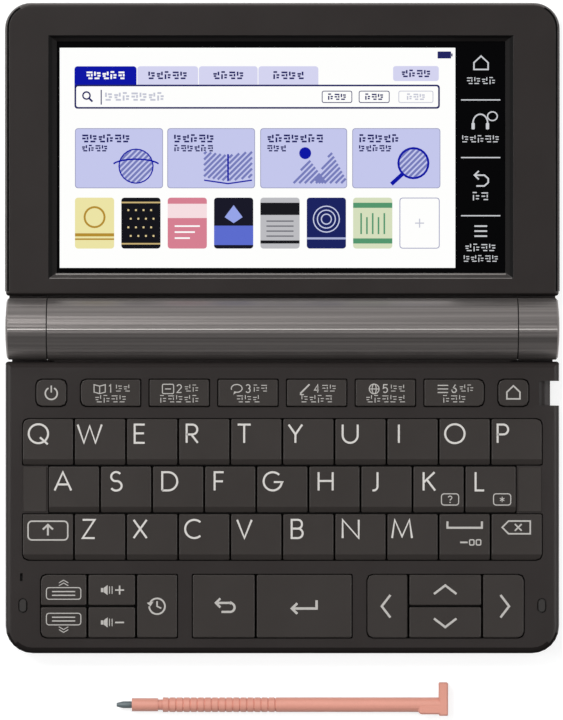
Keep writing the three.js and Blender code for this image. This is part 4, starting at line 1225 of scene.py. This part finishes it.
def tile_hills(picture, cx, cy):
    for dx, half, height in ((-11, 18, 24), (11, 17, 32)):
        hatched(picture, [(cx + dx - half, cy + 17), (cx + dx, cy + 17 - height), (cx + dx + half, cy + 17)], SLATE, 3)
    picture.shape(ring_points(cx - 15, cy - 13, 6, 6, 18), NAVY, 4)


def tile_lens(picture, cx, cy):
    hatched(picture, ring_points(cx, cy - 3, 15, 15), SLATE, 3)
    picture.stroke(ring_points(cx, cy - 3, 15, 15), 2.2, NAVY, 4, closed=True)
    picture.stroke([(cx - 10.5, cy + 7.5), (cx - 22, cy + 18)], 4, NAVY, 4)


def picture_tiles(picture):
    """Four lavender tiles, each with two lines of signs and a plain drawing."""
    places = ((74.8, 162.9), (167.2, 255), (260.2, 347.2), (352.3, 440.5))
    for i, ((x0, x1), draw) in enumerate(zip(places, (tile_globe, tile_book, tile_hills, tile_lens))):
        picture.panel(x0, 128, x1, 188.1, TILE_EDGE, 1, 3)
        picture.panel(x0 + 0.7, 128.7, x1 - 0.7, 187.4, LAVENDER, 2, 2.5)
        draw(picture, x1 - 27, 166)
        signs(picture, x0 + 6.5, 134.5, 7.6, (6, 5, 7, 5)[i], INK, 3, i)
        signs(picture, x0 + 6.5, 145, 6.2, (4, 6, 3, 5)[i], INK, 3, i + 2)


COVER_TOP_PX, COVER_BOTTOM_PX = 197.5, 248.5
COVER_FIRST_PX, COVER_STEP_PX, COVER_WIDTH_PX = 74.8, 46.4, 39.2

# each cover: its colour, then bands as shares of its height with their colours
COVERS = (
    (srgb(236, 228, 166), ((0.70, 0.76, srgb(180, 140, 50)), (0.80, 0.83, srgb(180, 140, 50)))),
    (srgb(22, 22, 28), ((0.08, 0.11, srgb(200, 176, 120)), (0.89, 0.92, srgb(200, 176, 120)))),
    (srgb(214, 128, 146), ((0.12, 0.40, srgb(246, 222, 226)),)),
    (srgb(26, 26, 40), ((0.55, 0.93, srgb(92, 108, 206)),)),
    (srgb(188, 188, 192), ((0.10, 0.34, srgb(26, 26, 30)), (0.84, 0.9, srgb(26, 26, 30)))),
    (srgb(28, 36, 96), ((0.78, 0.82, srgb(170, 178, 214)),)),
    (srgb(214, 223, 190), ((0.1, 0.2, srgb(84, 150, 110)), (0.8, 0.9, srgb(84, 150, 110)))),
)


def cover_motif(picture, index, x0, x1):
    """A plain pattern of its own for each cover."""
    middle, centre = (x0 + x1) / 2, (COVER_TOP_PX + COVER_BOTTOM_PX) / 2
    if index == 0:
        picture.stroke(ring_points(middle, centre - 6, 10, 10), 2, srgb(180, 140, 50), 3, closed=True)
    if index == 1:
        for row in range(4):
            for column in range(4):
                x, y = x0 + 7 + column * 7.6 + (row % 2) * 2.4, centre - 13 + row * 8.6
                picture.panel(x - 0.9, y - 0.9, x + 0.9, y + 0.9, srgb(224, 204, 150), 3)
    if index == 2:
        for row in range(3):
            y = centre + 3 + row * 6
            picture.stroke([(x0 + 7, y), (x1 - 7 - row * 5, y)], 1.6, WHITE, 3)
    if index == 3:
        picture.shape([(middle, centre - 18), (middle - 9, centre - 6), (middle, centre), (middle + 9, centre - 6)],
                      srgb(150, 164, 232), 3)
    if index == 4:
        for row in range(4):
            y = centre - 2 + row * 5
            picture.stroke([(x0 + 6, y), (x1 - 6, y)], 1.3, srgb(110, 110, 118), 3)
    if index == 5:
        for size in (5, 9, 13):
            picture.stroke(ring_points(middle, centre - 4, size, size), 1.1, srgb(200, 206, 232), 3, closed=True)
    if index == 6:
        for column in range(5):
            x = x0 + 8 + column * 5.8
            picture.stroke([(x, centre - 10 + (column % 2) * 4), (x, centre + 11)], 1.6, srgb(84, 150, 110), 3)


def picture_covers(picture):
    """A row of book covers in plain colours, and an empty place at its end."""
    height = COVER_BOTTOM_PX - COVER_TOP_PX
    for i, (tint, bands) in enumerate(COVERS):
        x0 = COVER_FIRST_PX + i * COVER_STEP_PX
        x1 = x0 + COVER_WIDTH_PX
        picture.panel(x0, COVER_TOP_PX, x1, COVER_BOTTOM_PX, tint, 1, 3)
        for start, end, band in bands:
            picture.panel(x0, COVER_TOP_PX + start * height, x1, COVER_TOP_PX + end * height, band, 2)
        cover_motif(picture, i, x0, x1)
    x0 = COVER_FIRST_PX + len(COVERS) * COVER_STEP_PX
    x1 = x0 + COVER_WIDTH_PX + 1
    picture.panel(x0, COVER_TOP_PX, x1, COVER_BOTTOM_PX, TILE_EDGE, 1, 3)
    picture.panel(x0 + 0.8, COVER_TOP_PX + 0.8, x1 - 0.8, COVER_BOTTOM_PX - 0.8, WHITE, 2, 2.4)
    middle, centre = (x0 + x1) / 2, (COVER_TOP_PX + COVER_BOTTOM_PX) / 2
    picture.stroke([(middle - 4.5, centre), (middle + 4.5, centre)], 1.2, PALE_INK, 3)
    picture.stroke([(middle, centre - 4.5), (middle, centre + 4.5)], 1.2, PALE_INK, 4)


def picture_icons(picture):
    """The strip of touch signs at the right, white on black."""
    white = STRIP_WHITE
    house = [(474.1, 69.2), (474.1, 62.4), (481.2, 55.8), (488.3, 62.4), (488.3, 69.2)]
    picture.stroke(house, 1.4, white, 2, closed=True)
    signs(picture, 466.5, 77, 6.9, 4, white, 2, 0, STRIP_SIGN_STROKE)
    for y in (99.7, 157.4, 215.6):
        picture.stroke([(461.2, y), (500.5, y)], 1.15, white, 2)
    picture.stroke(arc(480.5, 123, 7.4, -9, 0, 180, 14), 1.4, white, 2)
    for side in (-1, 1):
        picture.panel(480.5 + side * 7.2 - 1.6, 122.6, 480.5 + side * 7.2 + 1.6, 129.2, white, 2, 1)
    picture.stroke(ring_points(492.6, 116, 4.9, 4.4, 18), 1.2, white, 2, closed=True)
    signs(picture, 461.8, 135.2, 7.1, 5, white, 2, 1, STRIP_SIGN_STROKE)
    bend = [(475, 175), (484.5, 175), (488.4, 178.4), (488.4, 182.4), (484.5, 185.8), (476.5, 185.8)]
    picture.stroke(bend, 1.5, white, 2)
    picture.stroke([(479, 170.8), (474.6, 175), (479, 179.2)], 1.5, white, 2)
    signs(picture, 472, 192, 8.2, 2, white, 2, 3, STRIP_SIGN_STROKE)
    for y in (226, 231, 236):
        picture.stroke([(474.6, y), (487.3, y)], 1.5, white, 2)
    signs(picture, 464.8, 243.8, 7.4, 4, white, 2, 2, STRIP_SIGN_STROKE)
    signs(picture, 463.4, 255.2, 6.6, 5, white, 2, 1, STRIP_SIGN_STROKE)


class DICTIONARY_OT_display(bpy.types.Operator):
    """Display module with its black glass and the lit picture on it"""
    bl_idname = "dictionary.display"
    bl_label = "Display"

    def execute(self, context):
        dress("display_panel", "display_module", PANEL_EDGE, "lid", {"display_glass": None})
        picture = Picture(DISPLAY_HIGH[2] - 0.5 * LAYER)
        picture.panel(ACTIVE_LEFT_PX, ACTIVE_TOP_PX, ACTIVE_RIGHT_PX, ACTIVE_BOTTOM_PX, WHITE, 0)
        for draw in (picture_tabs, picture_search, picture_tiles, picture_covers, picture_icons):
            draw(picture)
        new_piece("display_picture", picture.mesh("display_picture"), "lid", ["display_light"])
        return {"FINISHED"}


# Stylus, cells, contacts and board

STYLUS_EDGE = 0.08 * MM


class DICTIONARY_OT_stylus(bpy.types.Operator):
    """Stylus with its ribbed grip, hook and grey tip"""
    bl_idname = "dictionary.stylus"
    bl_label = "Stylus"

    def execute(self, context):
        dress("stylus-body", "stylus_barrel", STYLUS_EDGE, "stylus", {"stylus_plastic": None})
        dress("stylus-point", "stylus_tip", STYLUS_EDGE, "stylus", {"tip_plastic": None})
        return {"FINISHED"}


def turned(profile, count=32):
    """A body turned about Z from a profile of radius and height, with flat ends."""
    turns = [math.tau * i / count for i in range(count)]
    return skin([[(radius * math.cos(turn), radius * math.sin(turn), z) for turn in turns] for radius, z in profile])


@made_once
def copies_on_points(name):
    """Sets a copy of one object on every point of the mesh."""
    tree, given, outlet = geometry_group(name, (), (("Geometry", "Geometry"), ("Shape", "Object")))
    shape = add_node(tree, "GeometryNodeObjectInfo", {"Object": given["Shape"]}).outputs["Geometry"]
    copies = add_node(tree, "GeometryNodeInstanceOnPoints", {"Points": given["Geometry"], "Instance": shape})
    return end_geometry(tree, given, outlet, copies.outputs["Instances"])


def placed_copies(name, parts, places, finish):
    """A piece that holds the same small shape at several places."""
    shape = linked(name + "_shape", joined(name + "_shape", parts))
    mesh = made_by_nodes(name, copies_on_points, finish, {"Shape": shape}, [(x * MM, y * MM, 0) for x, y in places])
    bpy.data.objects.remove(shape)
    new_piece(name, shade(mesh), "base", [finish])


@made_once
def wire_coil(name):
    """A wire coil about a line parallel to X, with a free choice of its two radii."""
    tree, given, outlet = geometry_group(
        name, ("Turns", "Start Radius", "End Radius", "Length", "Wire Radius"), [("Place", "Vector")])
    spiral = add_node(tree, "GeometryNodeCurveSpiral", {
        "Resolution": 16, "Rotations": given["Turns"], "Start Radius": given["Start Radius"],
        "End Radius": given["End Radius"], "Height": given["Length"]}).outputs["Curve"]
    wire = add_node(tree, "GeometryNodeCurvePrimitiveCircle", {"Resolution": 8, "Radius": given["Wire Radius"]})
    tube = add_node(tree, "GeometryNodeCurveToMesh",
                    {"Curve": spiral, "Profile Curve": wire.outputs["Curve"], "Fill Caps": True})
    turn = add_node(tree, "GeometryNodeTransform", {
        "Geometry": tube.outputs["Mesh"], "Translation": given["Place"], "Rotation": (0, math.pi / 2, 0)})
    return end_geometry(tree, given, outlet, turn.outputs["Geometry"])


CELL_EDGE, BOARD_EDGE = 0.1 * MM, 0.05 * MM
CELL_RADIUS, CELL_WRAP, CELL_BASE, CELL_SHOULDER = 7.05 * MM, 0.07 * MM, 0.7 * MM, 2.4 * MM
BAND_SHARE = 0.68
CELLS = {"left": (-50.8 * MM, -0.5 * MM), "right": (0.5 * MM, 50.8 * MM)}
BAY_END = 53.0 * MM
COIL = {"Turns": 3.5, "Start Radius": 3.6 * MM, "End Radius": 2.0 * MM, "Length": 1.6 * MM, "Wire Radius": 0.22 * MM,
        "Place": (-BAY_END + 0.3 * MM, AXIS_Y, AXIS_Z)}
CONTACT_RADIUS, CONTACT_BORE = 3.2 * MM, 1.2 * MM
CONTACT_START, CONTACT_END = BAY_END - 0.5 * MM, BAY_END - 0.05 * MM
CHIP_LOW = 2.93 * MM


def on_chip(centre, normal):
    return centre.z > CHIP_LOW


class DICTIONARY_OT_inside(bpy.types.Operator):
    """Cells with their wraps, battery contacts and main board inside the cases"""
    bl_idname = "dictionary.inside"
    bl_label = "Inside"

    def execute(self, context):
        outer, inner = barrel_circle(CELL_RADIUS + CELL_WRAP), barrel_circle(CELL_RADIUS - CELL_WRAP)
        for side, (start, end) in CELLS.items():
            dress("battery-" + side, "battery_" + side, CELL_EDGE, "base", {"cell_steel": None})
            low, high = start + CELL_BASE, end - CELL_SHOULDER
            border = low + (high - low) * BAND_SHARE
            for finish, x0, x1 in (("cell_wrap", low, border), ("cell_band", border, high)):
                solid_piece(f"{finish}_{side}", [ring_solid(outer, inner, x0, x1)], "base", finish)
        coil = made_by_nodes("contact_coil", wire_coil, "contact_metal", COIL)
        new_piece("contact_coil", shade(coil), "base", ["contact_metal"])
        rims = barrel_circle(CONTACT_RADIUS, 24), barrel_circle(CONTACT_BORE, 24)
        plate = ring_solid(*rims, CONTACT_START, CONTACT_END)
        solid_piece("contact_plate", [plate], "base", "contact_metal")
        dress("circuit_board", "main_board", BOARD_EDGE, "base", {"solder_mask": None, "chip_resin": on_chip})
        return {"FINISHED"}


# Underside and left side; feet and screws stand at places in millimetres

FOOT_PROFILE = ((3.95 * MM, 0.03 * MM), (4.35 * MM, 0.22 * MM), (4.35 * MM, 0.5 * MM))
FOOT_PLACES = ((-59, -30), (-59, 25), (59, -30), (59, 25))
SCREW_PLACES = ((-69, -34), (69, -34), (-60, 35.8), (60, 35.8))
SCREW_RADIUS, SCREW_LOW, SCREW_HIGH = 1.08 * MM, 1.0 * MM, 2.6 * MM
SCREW_SLOT, SLOT_DEPTH, QUARTER_HEIGHT = 0.2 * MM, 0.35 * MM, 0.4 * MM
SCREW_PROFILE = [(SCREW_RADIUS - 0.02 * MM, z) for z in (SCREW_LOW + SLOT_DEPTH, SCREW_HIGH)]
SPEAKER, SPEAKER_CORNER = (-58 * MM, 8 * MM, -42 * MM, 18 * MM), 0.8 * MM
SPEAKER_LOW, SPEAKER_HIGH = 1.42 * MM, 1.62 * MM
PORT_Y, PORT_Z, PORT_END = 23.1 * MM, 2.55 * MM, 0.95 * MM - HALF_WIDTH
# the socket's shell and its tongue, in millimetres: start, then half length, half height and corner outside and
# inside
PORT_SHELL = (0.03, (3.0, 1.05, 0.8), (2.75, 0.8, 0.55))
PORT_TONGUE = (0.3, (1.8, 0.3, 0), (0.1, 0.02, 0))


def screw_parts():
    """A screw's head with a crossed slot, seen from below."""
    least = math.degrees(math.asin(SCREW_SLOT / SCREW_RADIUS))
    quarter = [(SCREW_SLOT, SCREW_SLOT)] + arc(0, 0, SCREW_RADIUS, SCREW_RADIUS, least, 90 - least, 5)
    parts = [turned(SCREW_PROFILE, 24)]
    for _ in range(4):
        parts.append(prism(quarter, SCREW_LOW, SCREW_LOW + QUARTER_HEIGHT))
        quarter = [(-y, x) for x, y in quarter]
    return parts


def port_ring(start, outer, inner):
    """A ring of the socket that reaches into the case from its left side."""
    outlines = []
    for size in (outer, inner):
        half_y, half_z, corner = (value * MM for value in size)
        outlines.append(rectangle(PORT_Y - half_y, PORT_Z - half_z, PORT_Y + half_y, PORT_Z + half_z, corner))
    return ring_solid(*outlines, start * MM - HALF_WIDTH, PORT_END)


class DICTIONARY_OT_fittings(bpy.types.Operator):
    """Rubber feet, screws, loudspeaker cloth and the socket at the side"""
    bl_idname = "dictionary.fittings"
    bl_label = "Fittings"

    def execute(self, context):
        placed_copies("rubber_feet", [turned(FOOT_PROFILE)], FOOT_PLACES, "foot_rubber")
        placed_copies("case_screws", screw_parts(), SCREW_PLACES, "screw_steel")
        for name, part, finish in (
            ("speaker_cloth", prism(rectangle(*SPEAKER, SPEAKER_CORNER), SPEAKER_LOW, SPEAKER_HIGH), "speaker_cloth"),
            ("socket_shell", port_ring(*PORT_SHELL), "contact_metal"),
            ("socket_tongue", port_ring(*PORT_TONGUE), "chip_resin"),
        ):
            solid_piece(name, [part], "base", finish)
        return {"FINISHED"}


# Stage

CAMERA_DISTANCE, FOCUS_HEIGHT, SENSOR, CLIP_END = 1.6, 6.5 * MM, 36, 20
FLOOR_HEIGHT, FLOOR_HALF, FLOOR_TONE, FLOOR_GLOW = -0.03 * MM, 3.0, 0.36, 0.78
# the studio is lighter behind the object than in front, and darkest straight above
SKY_BY_Y, SKY_BY_Z = (-0.5, 0.6, 0.17, 0.68), (0.72, 0.98, 1.0, 0.2)
# softboxes: place, size and power
SOFTBOXES = {
    "rear_softbox": ((-0.56, 0.6, 1.2), (0.5, 0.24), 10.5),
    "left_softbox": ((-0.72, 0.05, 0.98), (0.25, 0.9), 3.0),
    "right_softbox": ((0.74, -0.05, 1.0), (0.25, 0.9), 4.0),
}


def area_light(name, place, size, power):
    """A softbox that faces the middle of the object."""
    lamp = bpy.data.lights.new(name, "AREA")
    lamp.shape, lamp.energy = "RECTANGLE", power
    lamp.size, lamp.size_y = size
    holder = linked(name, lamp)
    holder.location = place
    holder.rotation_euler = (Vector((0, AXIS_Y, 0)) - Vector(place)).to_track_quat("-Z", "Y").to_euler()


class DICTIONARY_OT_stage(bpy.types.Operator):
    """Pale floor, soft studio light and the camera straight above"""
    bl_idname = "dictionary.stage"
    bl_label = "Stage"

    def execute(self, context):
        scene = context.scene
        mesh = bpy.data.meshes.new("floor")
        corners = rectangle(-FLOOR_HALF, -FLOOR_HALF, FLOOR_HALF, FLOOR_HALF)
        mesh.from_pydata([(x, y, FLOOR_HEIGHT) for x, y in corners], [], [[0, 1, 2, 3]])
        mesh.materials.append(material("stage_floor"))
        linked("floor", mesh)

        world = scene.world = bpy.data.worlds.new("studio")
        world.use_nodes = True
        tree = world.node_tree
        tree.nodes.clear()
        towards = add_node(tree, "ShaderNodeTexCoord").outputs["Generated"]
        split = add_node(tree, "ShaderNodeSeparateXYZ", {"Vector": towards}).outputs
        levels = [map_range(tree, split[axis], limits, interpolation_type="SMOOTHSTEP")
                  for axis, limits in (("Y", SKY_BY_Y), ("Z", SKY_BY_Z))]
        sky = add_node(tree, "ShaderNodeBackground",
                       {"Color": (1, 1, 1, 1), "Strength": math_node(tree, "MULTIPLY", *levels)})
        add_node(tree, "ShaderNodeOutputWorld", {"Surface": sky.outputs["Background"]})
        for name, (place, size, power) in SOFTBOXES.items():
            area_light(name, place, size, power)

        lens_view = bpy.data.cameras.new("photo_camera")
        lens_view.sensor_width = SENSOR
        lens_view.lens = SENSOR * CAMERA_DISTANCE / (PHOTO_HEIGHT * PX)
        lens_view.clip_end = CLIP_END
        scene.camera = linked("photo_camera", lens_view)
        scene.camera.location = (photo_x(PHOTO_WIDTH / 2), photo_y(PHOTO_HEIGHT / 2), CAMERA_DISTANCE + FOCUS_HEIGHT)
        scene.view_settings.view_transform = "Standard"
        return {"FINISHED"}


class DICTIONARY_PT_panel(bpy.types.Panel):
    """Lists the steps that dress the dictionary"""
    bl_idname = "DICTIONARY_PT_panel"
    bl_label = "Electronic dictionary"
    bl_space_type = "VIEW_3D"
    bl_region_type = "UI"
    bl_category = "Dictionary"

    def draw(self, context):
        for operator in OPERATORS:
            self.layout.operator(operator.bl_idname)
        for group in (context.scene.dictionary_colours, context.scene.dictionary_sizes):
            for label in group.__annotations__:
                self.layout.prop(group, label)


OPERATORS = (DICTIONARY_OT_stage, DICTIONARY_OT_cases, DICTIONARY_OT_barrel, DICTIONARY_OT_keys,
             DICTIONARY_OT_display, DICTIONARY_OT_stylus, DICTIONARY_OT_inside, DICTIONARY_OT_fittings)
CLASSES = (DictionaryColours, DictionarySizes, *OPERATORS, DICTIONARY_PT_panel)


def register():
    for item in CLASSES:
        bpy.utils.register_class(item)
    bpy.types.Scene.dictionary_colours = bpy.props.PointerProperty(type=DictionaryColours)
    bpy.types.Scene.dictionary_sizes = bpy.props.PointerProperty(type=DictionarySizes)


def unregister():
    del bpy.types.Scene.dictionary_sizes
    del bpy.types.Scene.dictionary_colours
    for item in reversed(CLASSES):
        bpy.utils.unregister_class(item)


def main():
    register()
    bpy.ops.dictionary.stage()
    bpy.ops.dictionary.cases()
    bpy.ops.dictionary.barrel()
    bpy.ops.dictionary.keys()
    bpy.ops.dictionary.display()
    bpy.ops.dictionary.stylus()
    bpy.ops.dictionary.inside()
    bpy.ops.dictionary.fittings()


if __name__ == "__main__":
    main()
